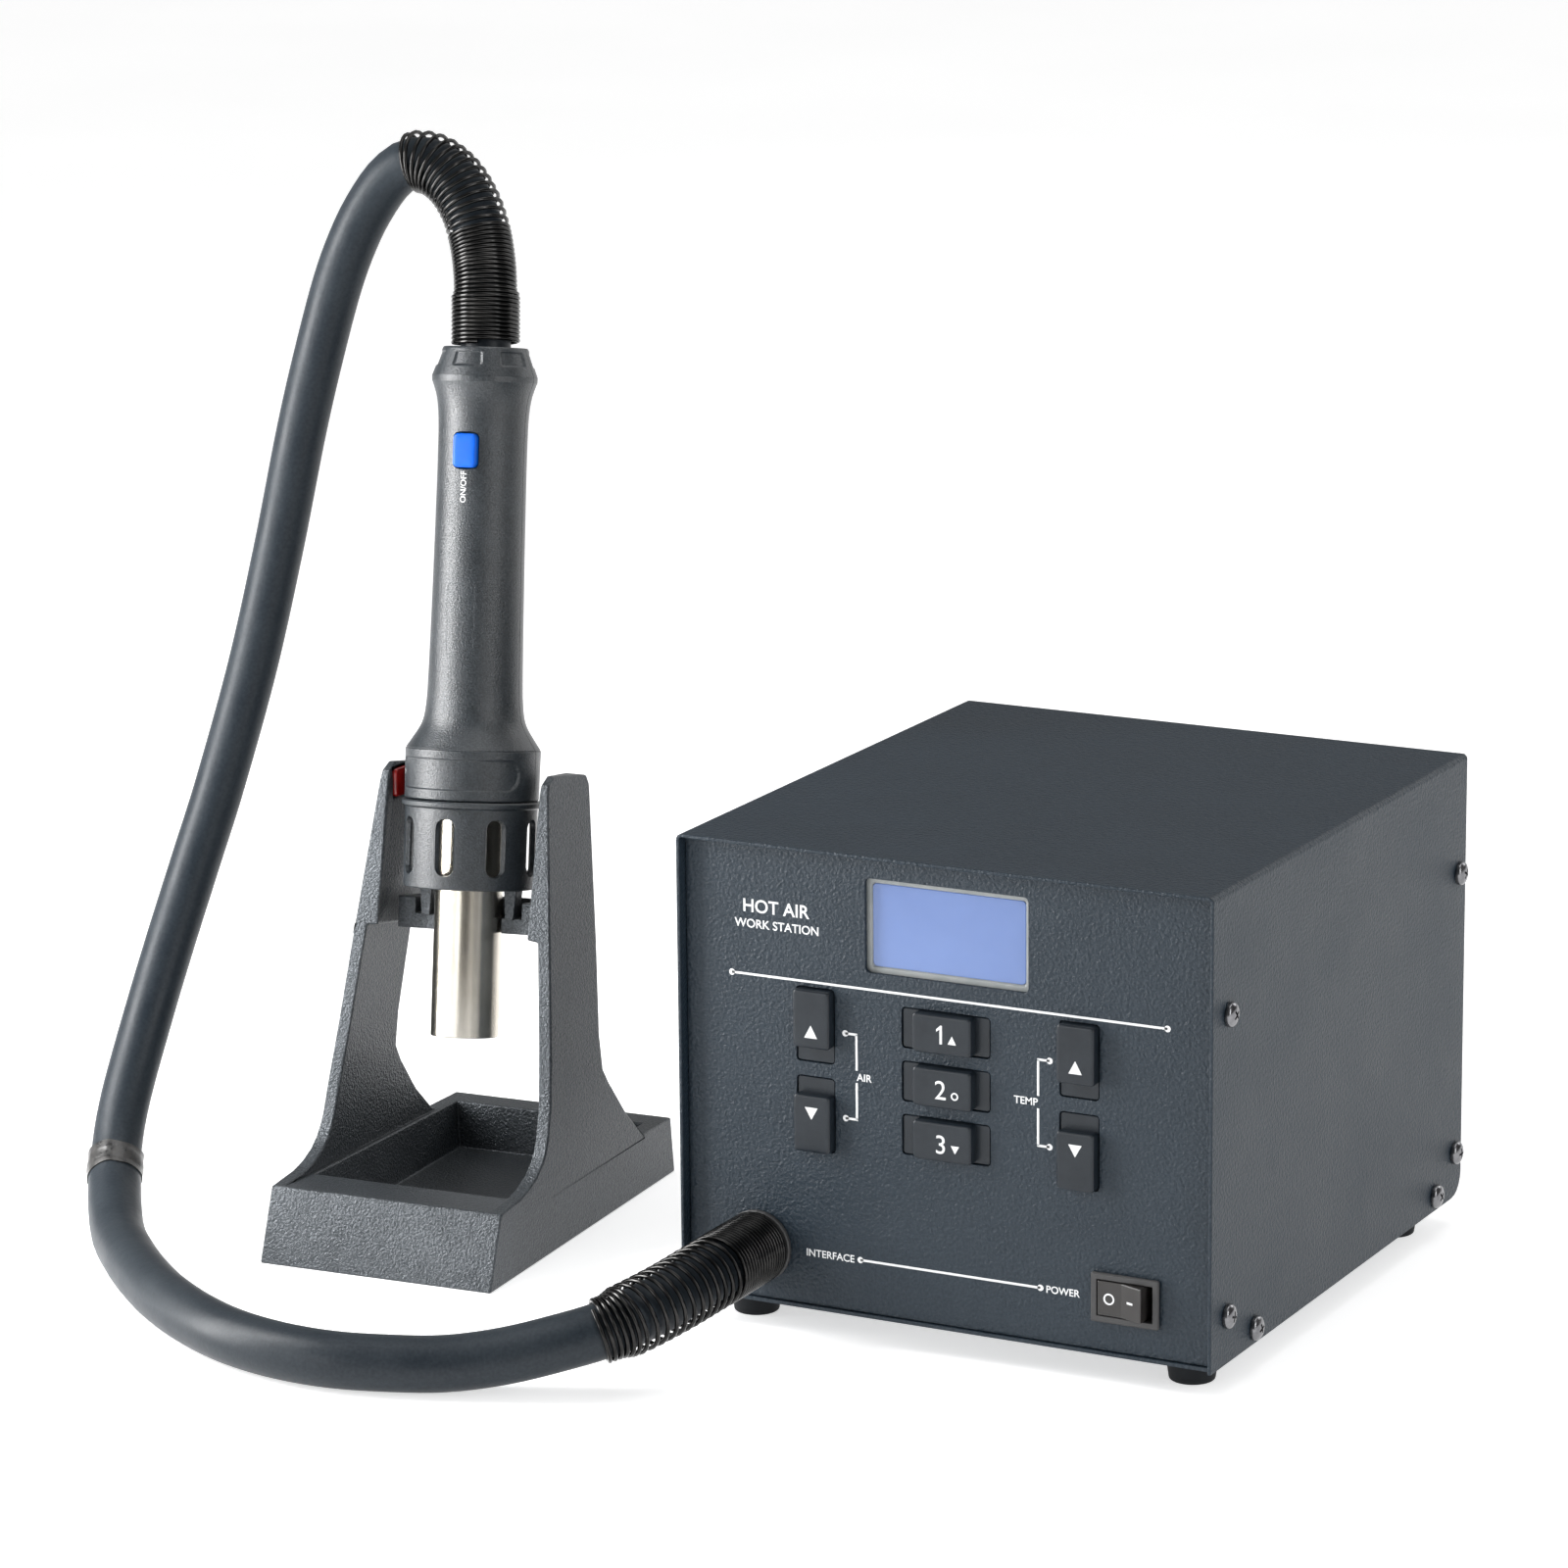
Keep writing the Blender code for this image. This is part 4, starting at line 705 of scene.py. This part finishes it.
def vent_skirt():
    """The guard round the tube: a rounded lower edge, a rib at the top, and slots all round."""
    inside, rib, hole = SKIRT_R - SKIRT_WALL, SKIRT_R + 0.0014, TUBE_R + 0.0003
    bottom, top, round_r = SKIRT_BOTTOM, SKIRT_TOP, 0.0006
    profile = [(inside, bottom + 0.0003), (inside + 0.0003, bottom),
               *arc((SKIRT_R - round_r, bottom + round_r), round_r, -90, 0, 5),
               (SKIRT_R + 0.0002, top - 0.0026), (SKIRT_R + 0.0008, top - 0.0020),
               (rib - 0.0001, top - 0.0019), (rib, top - 0.0017), (rib, top - 0.0005),
               (rib - 0.0005, top), (hole, top), (hole, top - 0.002), (inside, top - 0.002)]
    made = piece("vent_guard", turned(profile, 180), HANDLE_PLASTIC, "handpiece", HAND,
                 ("vent_skirt",))
    middle, height = (SLOT_LOW + SLOT_HIGH) / 2, SLOT_HIGH - SLOT_LOW

    def outline(inset):
        return rounded(SLOT_W + 2 * inset, height + 0.6 * inset, SLOT_W / 2 + 0.9 * inset,
                       (0, middle))

    tools = bmesh.new()
    for k in range(SLOTS):
        cutter = pad(outline, ((-0.0190, 0), (-0.0210, 0), (-0.0224, 0.0011), (-0.0245, 0.0013)))
        cutter.transform(Matrix.Rotation(TAU * k / SLOTS, 4, "Z"))
        join(tools, cutter)
    return cut(made, tools)


def heater_tube():
    inside, lip, foot = TUBE_R - TUBE_WALL, 0.00035, TUBE_FOOT
    profile = [(inside, foot + 0.0004), (inside + 0.00012, foot + 0.0001), (TUBE_R - lip, foot),
               *arc((TUBE_R - lip, foot + lip), lip, -60, 0, 5), (TUBE_R, 0.030),
               (TUBE_R, 0.060), (TUBE_R, TUBE_TOP), (inside, TUBE_TOP)]
    piece("hot_air_tube", turned(profile, 128), STEEL, "handpiece", HAND, ("heater_tube",))


handle_shell("grip_front", "handle_front", True)
handle_shell("grip_rear", "handle_rear", False)
handle_button()
vent_skirt()
heater_tube()

# ---- keys, screws, feet, castings and sheets ----------------------------------------------

# Places of the keys' openings, in the cabinet's frame, and their (width, height).
KEY_Y, KEY_PROUD = 0.004, 0.0034
AIR_X, TEMP_X, NUMBER_X = 0.0479, 0.1408, 0.0943
UP_Z, DOWN_Z = 0.09535, 0.06575
NUMBER_Z = (0.09855, 0.0809, 0.06325)
TALL_KEY, WIDE_KEY = (0.0138, 0.0249), (0.0312, 0.0135)
KEY_STEP = 0.0051


def key_cap(node_name, x, z, size, low, high):
    """A key: its plate in the panel's opening, its lip behind, and the raised, softly rounded
    block on it. low and high are the block's corners from the opening's centre."""
    half_w, half_h = size[0] / 2 - 0.0003, size[1] / 2 - 0.0003
    middle = ((low[0] + high[0]) / 2, (low[1] + high[1]) / 2)
    width, height = high[0] - low[0], high[1] - low[1]

    def plate(inset):
        return rounded(2 * (half_w - inset), 2 * (half_h - inset), 0.0010 - inset)

    def lip(inset):
        return rounded(2 * half_w + 0.0024, 2 * half_h + 0.0020, 0.0004)

    def block(inset):
        return rounded(width - 2 * inset, height - 2 * inset, max(0.0012 - 0.6 * inset, 0.0003),
                       middle)

    bm = pad(plate, ((0.0018, 0), (0.0006, 0), (0.0004, 0.0002)))
    pad(lip, ((0.0033, 0), (0.0018, 0)), bm)
    edge_r = 0.0007
    round_edge = [(-KEY_PROUD + edge_r - edge_r * math.sin(math.radians(a)),
                   edge_r - edge_r * math.cos(math.radians(a))) for a in (0, 22, 45, 68, 84)]
    crown = ((-KEY_PROUD - 0.00002, 0.0014), (-KEY_PROUD - 0.00006, 0.0028))
    pad(block, ((0.0005, 0), *round_edge, *crown), bm)
    at = Matrix.Translation(CABINET @ Vector((x, KEY_Y, z)))
    return piece(node_name + "_cap", bm, KEY_PLASTIC, node_name, at, (node_name,),
                 smooth=42)


def keypad():
    """Two pairs of tall keys, whose blocks meet in the middle, and three wide ones."""
    half_w, half_h = TALL_KEY[0] / 2 - 0.0004, TALL_KEY[1] / 2 - 0.0004
    for label, x in (("air", AIR_X), ("temp", TEMP_X)):
        key_cap(f"key_{label}_up", x, UP_Z, TALL_KEY, (-half_w, -half_h + KEY_STEP),
                (half_w, half_h))
        key_cap(f"key_{label}_down", x, DOWN_Z, TALL_KEY, (-half_w, -half_h),
                (half_w, half_h - KEY_STEP))
    half_w, half_h = 0.0103, WIDE_KEY[1] / 2 - 0.0004
    for number, z in enumerate(NUMBER_Z, 1):
        key_cap(f"key_{number}", NUMBER_X, z, WIDE_KEY, (-half_w, -half_h), (half_w, half_h))


SCREW_HEAD = 0.0025


def pan_screw_mesh():
    """A pan head with a cross recess, its shank along -Z."""
    head_r, head_h = 0.0040, SCREW_HEAD
    dome = [(head_r * math.cos(math.radians(a)), 0.0008 + (head_h - 0.0008)
             * math.sin(math.radians(a))) for a in (0, 12, 26, 40, 55, 70, 82)]
    profile = [(0, -0.0055), (0.0019, -0.0055), (0.0019, 0), (head_r, 0), *dome, (0, head_h)]
    solid = bpy.data.objects.new("screw", mesh_of("pan_screw", turned(profile, 48)))
    bpy.context.scene.collection.objects.link(solid)
    solid.data.materials.append(SCREW)
    arm, half = 0.0021, 0.00048
    cross = [(half, half), (half, arm), (-half, arm), (-half, half), (-arm, half), (-arm, -half),
             (-half, -half), (-half, -arm), (half, -arm), (half, -half), (arm, -half), (arm, half)]
    sections = [[(x * share, y * share, z) for x, y in cross]
                for z, share in ((head_h - 0.0016, 0.45), (head_h + 0.0006, 1.05))]
    cut(solid, loft(sections))
    mesh = solid.data
    bpy.data.objects.remove(solid, do_unlink=True)
    return mesh


def screws():
    mesh = pan_screw_mesh()
    for side, sign in (("left", -1), ("right", 1)):
        for number in range(1, 7):
            name = f"screw_{side}_{number}"
            low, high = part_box(name)
            face = high.x - SCREW_HEAD if sign > 0 else low.x + SCREW_HEAD
            spot = Vector((face, (low.y + high.y) / 2, (low.z + high.z) / 2))
            at = (Matrix.Translation(spot) @ Matrix.Rotation(sign * math.pi / 2, 4, "Y")
                  @ Matrix.Rotation(math.radians(37 * number), 4, "Z"))
            place_piece(f"pan_{name}", mesh, SCREW, "station", at, (name,))


def feet():
    """Tapered rubber feet, each hollow underneath round its screw."""
    height, hollow, edge_r = 0.010, -0.0055, 0.0009
    profile = [(0, hollow), (0.0031, hollow), (0.0035, hollow - 0.0004),
               (0.0035, -height + 0.0003), (0.0038, -height),
               *arc((0.0066, -height + edge_r), edge_r, -90, -8, 5),
               (0.0086, -0.0014), (0.0090, -0.0008), (0.0088, -0.0003), (0, -0.0003)]
    mesh = mesh_of("rubber_foot", turned(profile, 64))
    for number in range(1, 5):
        low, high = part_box(f"foot_{number}")
        at = Matrix.Translation(((low.x + high.x) / 2, (low.y + high.y) / 2, height))
        place_piece(f"rubber_foot_{number}", mesh, FOOT_RUBBER, "station", at,
                    (f"foot_{number}",))


def rounded_copy(name, node_name, surface, slot, width, least):
    """A piece in the CAD's own shape, with its edges rounded. least is the smallest turn, in
    degrees, that counts as an edge."""
    bm = bmesh.new()
    bm.from_mesh(frame["nodes"][node_name].data)
    bmesh.ops.remove_doubles(bm, verts=bm.verts, dist=0.2 * MM)
    bmesh.ops.dissolve_degenerate(bm, edges=bm.edges, dist=0.2 * MM)
    bmesh.ops.dissolve_limit(bm, angle_limit=math.radians(1), verts=bm.verts, edges=bm.edges)
    made = piece(name, bm, surface, "station", stands_for=(node_name,))
    edges = made.modifiers.new("round", "BEVEL")
    edges.width = width
    edges.segments = 3
    edges.use_clamp_overlap = False
    edges.angle_limit = math.radians(least)
    made.modifiers.new("flat", "WEIGHTED_NORMAL")


# The stand's turn in degrees, how far its left arm's inner face falls back along it, and the
# insert in that face.
STAND_YAW, ARM_SLOPE = 3.7, 0.18
MAGNET_W, MAGNET_H = 0.0080, 0.0098


def rest_magnet():
    """The red block let into the stand's left arm, its face following the arm's slope."""
    low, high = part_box("magnet_insert")
    at = (Matrix.Translation((low + high) / 2)
          @ Matrix.Rotation(math.radians(STAND_YAW), 4, "Z"))
    sections = []
    for proud, shrink in ((-0.0030, 0), (-0.0004, 0), (-0.0001, 0.0002), (0, 0.0006)):
        outline = rounded(MAGNET_W - 2 * shrink, MAGNET_H - 2 * shrink, 0.0015 - shrink)
        sections.append([(0.0022 + ARM_SLOPE * y + proud, y, z) for y, z in outline])
    piece("rest_magnet", loft(sections), RED, "station", at, ("magnet_insert",),
          smooth=40)


def display_window():
    """The display's clear front, which fills its frame's sloping window almost to the front."""
    low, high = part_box("display_frame")
    width, height = 0.0539, 0.0274

    def outline(inset):
        return rounded(width - 2 * inset, height - 2 * inset, 0.0016 - inset)

    at = Matrix.Translation(((low.x + high.x) / 2, low.y, (low.z + high.z) / 2))
    piece("display_window", pad(outline, ((0.0029, 0.00145), (0.0006, 0.0001), (0.0004, 0.0003))),
          GLASS, "station", at, smooth=40)


display_window()
keypad()
screws()
feet()
rest_magnet()
for row in (("stand_frame", "stand_body", STAND_PAINT, "stand_casting", 0.0007, 26),
            ("stand_fork", "cradle", STAND_PAINT, "stand_casting", 0.0003, 26),
            ("cover_shell", "cover", POWDER, "powder_coat", 0.0004, 40),
            ("panel_front", "front_panel", POWDER, "powder_coat", 0.0002, 40),
            ("panel_rear", "rear_panel", POWDER, "powder_coat", 0.0002, 40),
            ("rocker_bezel", "rocker_housing", BEZEL, "switch_plastic", 0.0003, 40),
            ("display_bezel", "display_frame", DISPLAY_FRAME, "display_frame", 0.0002, 40)):
    rounded_copy(*row)

# ---- printing -----------------------------------------------------------------------------

# How much a letter's outline grows, as a share of the font's size.
BOLD = 0.012


def words_mesh(text, height, bold):
    """Flat lettering of that height, centred on the origin, in the XZ plane and facing -Y."""
    curve = bpy.data.curves.new("words", "FONT")
    curve.body = text
    curve.offset = bold
    curve.extrude = 0.004
    curve.resolution_u = 5
    holder = bpy.data.objects.new("words", curve)
    bpy.context.scene.collection.objects.link(holder)
    graph = bpy.context.evaluated_depsgraph_get()
    bpy.context.view_layer.update()
    mesh = bpy.data.meshes.new_from_object(holder.evaluated_get(graph))
    bpy.data.objects.remove(holder, do_unlink=True)
    xs, ys = [v.co.x for v in mesh.vertices], [v.co.y for v in mesh.vertices]
    scale = height / (max(ys) - min(ys))
    middle = Vector(((max(xs) + min(xs)) / 2, (max(ys) + min(ys)) / 2, 0))
    mesh.transform(Matrix.Rotation(math.pi / 2, 4, "X") @ Matrix.Scale(scale, 4)
                   @ Matrix.Translation(-middle))
    return mesh


def triangle(x, z, width, height, up):
    tip = 1 if up else -1
    return [(x - width / 2, z - tip * height / 2), (x + width / 2, z - tip * height / 2),
            (x, z + tip * height / 2)]


def bar(x0, z0, x1, z1, width=0.75):
    """A straight line of the given width, as an outline."""
    along = Vector((x1 - x0, z1 - z0)).normalized() * width / 2
    side = Vector((-along.y, along.x))
    return [(x0 + side.x, z0 + side.y), (x0 - side.x, z0 - side.y), (x1 - side.x, z1 - side.y),
            (x1 + side.x, z1 + side.y)]


def printing(name, body, at, outlines=(), words=()):
    """Joins outlines and words into one thin piece. Both are in millimetres from at, outlines as
    lists of (x, z), words as (text, height, x, z)."""
    half_t = 0.03
    bm = bmesh.new()
    for outline in outlines:
        join(bm, loft([[(x * MM, y * MM, z * MM) for x, z in outline]
                       for y in (half_t, -half_t)]))
    for text, height, x, z in words:
        part = words_mesh(text, height * MM, 0 if text.isdigit() else BOLD)
        part.transform(Matrix.Translation((x * MM, 0, z * MM)))
        bm.from_mesh(part)
        bpy.data.meshes.remove(part)
    return piece(name, bm, PRINT, body, at, smooth=20)


def dot(x, z):
    return arc((x, z), 1.05, 0, 345, 23)


def ring_marks(x, z, outer, inner):
    """A ring as a row of four-sided pieces."""
    marks = []
    for k in range(24):
        begin, end = 15 * k, 15 * (k + 1)
        marks.append([*arc((x, z), outer, begin, end, 1), *arc((x, z), inner, end, begin, 1)])
    return marks


def panel_printing():
    lines = [bar(17.9, 109.5, 170.9, 109.5), bar(63.5, 18.9, 127.4, 18.9)]
    lines += [dot(x, z) for x, z in ((17.9, 109.5), (170.9, 109.5), (63.5, 18.9), (127.4, 18.9))]
    for x, stem in ((58.6, 62.6), (130.55, 126.55)):
        near = stem + math.copysign(0.37, stem - x)
        lines += [dot(x, 94.0), dot(x, 65.8), bar(x, 94.0, near, 94.0), bar(x, 65.8, near, 65.8)]
        lines += [bar(stem, 94.0, stem, 82.1), bar(stem, 78.0, stem, 65.8)]
    words = (("HOT AIR", 4.4, 34.2, 132.3), ("WORK STATION", 2.9, 34.2, 126.4),
             ("AIR", 2.45, 65.3, 80.0), ("TEMP", 2.45, 122.3, 80.0),
             ("INTERFACE", 2.5, 52.7, 18.9), ("POWER", 2.45, 135.3, 18.8))
    corner = CABINET.translation
    at = Matrix.Translation((corner.x, PANEL_Y - 0.00004, corner.z))
    printing("panel_printing", "station", at, lines, words)


def key_printing():
    face = -KEY_PROUD - 0.00009
    at = CABINET @ Matrix.Translation((0, KEY_Y + face, 0))
    for label, x in (("air", 47.95), ("temp", 140.95)):
        printing(f"mark_{label}_up", f"key_{label}_up", at, [triangle(x, 94.0, 4.6, 4.2, True)])
        printing(f"mark_{label}_down", f"key_{label}_down", at,
                 [triangle(x, 66.8, 4.6, 4.0, False)])
    one = [(-0.1, -3.05), (0.75, -3.05), (0.75, 3.05), (0.15, 3.05), (-1.25, 1.75), (-1.25, 0.9),
           (-0.1, 1.75)]
    printing("mark_1", "key_1", at, [triangle(98.1, 97.4, 2.9, 2.8, True),
                                     [(x + 93.9, z + 98.8) for x, z in one]])
    printing("mark_2", "key_2", at, ring_marks(99.0, 79.1, 1.3, 0.8), [("2", 6.1, 94.0, 80.6)])
    printing("mark_3", "key_3", at, [triangle(99.1, 61.4, 2.9, 2.6, False)],
             [("3", 6.1, 94.0, 62.6)])


# The rocker's turn at rest in degrees, and its outline: the ridge in its middle stands ROCKER_OUT
# from the pivot, and each half of the face falls by ROCKER_RISE over ROCKER_RUN.
ROCKER_REST = -10
ROCKER_OUT, ROCKER_RISE, ROCKER_RUN = 0.0052, 0.0013, 0.0083


def rocker_printing():
    pivot = Vector(JOINTS["power_rocker"]["pos_m"])
    rest = (Matrix.Translation(pivot)
            @ Matrix.Rotation(math.radians(ROCKER_REST), 4, "Z"))
    slope = math.atan2(ROCKER_RISE, ROCKER_RUN)
    for name, x, outlines in (("mark_off", -0.0042, ring_marks(0, 0, 1.9, 1.35)),
                              ("mark_on", 0.0036, [bar(-1.2, 0, 1.2, 0, 0.7)])):
        y = -(ROCKER_OUT + ROCKER_RISE * abs(x) / ROCKER_RUN) - 0.00006
        at = (rest @ Matrix.Translation((x, y, 0))
              @ Matrix.Rotation(math.copysign(slope, -x), 4, "Z"))
        printing(name, "rocker", at, outlines)


def handle_printing():
    """ON/OFF, reading upward below the button, on the grip's round face."""
    mesh = words_mesh("ON/OFF", 0.0021, BOLD / 2)
    mesh.transform(Matrix.Translation((-0.0003, 0, 0.1855))
                   @ Matrix.Rotation(-math.pi / 2, 4, "Y"))
    for vert in mesh.vertices:
        radius = flowing(GRIP, vert.co.z) + 0.00005 - vert.co.y
        angle = vert.co.x / radius
        vert.co = (radius * math.sin(angle), -radius * math.cos(angle) - 0.00014, vert.co.z)
    place_piece("grip_printing", mesh, PRINT, "handpiece", HAND)


panel_printing()
key_printing()
rocker_printing()
handle_printing()

# ---- materials of the nodes that stay -----------------------------------------------------

NODE_FINISH = {
    POWDER: ("base_tray",),
    GLASS: ("lcd_module",),
    BOARD: ("control_board", "handle_board"),
    BEZEL: ("hose_socket",),
    SWITCH: ("rocker",),
    INLET: ("power_inlet",),
    BLOWER: ("blower_housing",),
    ROTOR: ("blower_rotor",),
    SILICONE: ("air_duct",),
    IRON: ("transformer",),
    MICA: ("mica_sleeve",),
    CERAMIC: ("heater_core",),
}
for material, names in NODE_FINISH.items():
    for name in names:
        for holder in frame["nodes"][name].material_slots:
            holder.material = material

# ---- floor and light ----------------------------------------------------------------------

# Light from all round the horizon, as (degrees from +X towards +Y, level): a wide bright side at
# the front left, a narrow one at the right, a dim one behind, and shade between them.
WORLD_STOPS = (
    (-180, 0.45), (-132, 0.45), (-122, 0.9), (-102, 0.9), (-86, 0.10), (-44, 0.10), (-38, 1.0),
    (-18, 1.0), (-8, 0.12), (58, 0.12), (72, 0.80), (94, 0.80), (106, 0.25), (160, 0.25),
    (174, 0.4), (180, 0.45),
)
WORLD_LEVEL = 1.1
# Each light is (name, place, the point it faces, (width, height), watts).
LIGHTS = (
    ("key", (-0.60, -0.36, 0.33), (-0.13, 0, 0.16), (0.20, 0.62), 8.5),
    ("front", (-0.75, -2.0, 0.42), (0, 0, 0.12), (0.5, 0.6), 5),
    ("side", (1.5, -0.50, 0.75), (0, 0, 0.12), (0.35, 1.0), 5),
    ("back", (0.9, 1.4, 0.9), (0, 0, 0.12), (0.5, 0.9), 4),
    ("top", (0.15, 0.2, 1.9), (0.05, 0, 0.1), (1.2, 1.2), 9),
)


def area_light(name, place, aim, size, power):
    data = bpy.data.lights.new(name, "AREA")
    data.shape = "RECTANGLE"
    data.size, data.size_y = size
    data.energy = power
    made = bpy.data.objects.new(name, data)
    bpy.context.scene.collection.objects.link(made)
    made.location = place
    made.rotation_mode = "QUATERNION"
    made.rotation_quaternion = (Vector(aim) - Vector(place)).to_track_quat("-Z", "Y")


def studio_world():
    world = bpy.data.worlds.new("studio")
    bpy.context.scene.world = world
    world.use_nodes = True
    tree = world.node_tree
    split = node(tree, "ShaderNodeSeparateXYZ")
    tree.links.new(node(tree, "ShaderNodeTexCoord").outputs["Generated"], split.inputs["Vector"])
    turn = node(tree, "ShaderNodeMath", operation="ARCTAN2")
    tree.links.new(split.outputs["Y"], turn.inputs[0])
    tree.links.new(split.outputs["X"], turn.inputs[1])
    share = node(tree, "ShaderNodeMapRange", From_Min=-math.pi, From_Max=math.pi)
    tree.links.new(turn.outputs["Value"], share.inputs["Value"])
    ramp = node(tree, "ShaderNodeValToRGB")
    elements = ramp.color_ramp.elements
    for _ in range(len(WORLD_STOPS) - 2):
        elements.new(0.5)
    for element, (degrees, level) in zip(elements, WORLD_STOPS):
        element.position = (degrees + 180) / 360
        element.color = (level, level, level, 1)
    tree.links.new(share.outputs["Result"], ramp.inputs["Fac"])
    sky = tree.nodes["Background"]
    tree.links.new(ramp.outputs["Color"], sky.inputs["Color"])
    sky.inputs["Strength"].default_value = WORLD_LEVEL


def stage():
    bm = bmesh.new()
    bmesh.ops.create_grid(bm, x_segments=8, y_segments=8, size=60)
    floor = bpy.data.objects.new("floor", mesh_of("floor", bm))
    bpy.context.scene.collection.objects.link(floor)
    glow = {"Emission Strength": 0.60, "Emission Color": (1, 1, 1, 1)}
    floor.data.materials.append(finish("floor_pale", (0.80, 0.80, 0.80), (0.83, 0.83, 0.83),
                                       (0.7, 0.8), 3, sockets=glow))
    studio_world()
    bpy.context.scene.view_settings.view_transform = "Standard"
    for light in LIGHTS:
        area_light(*light)


stage()
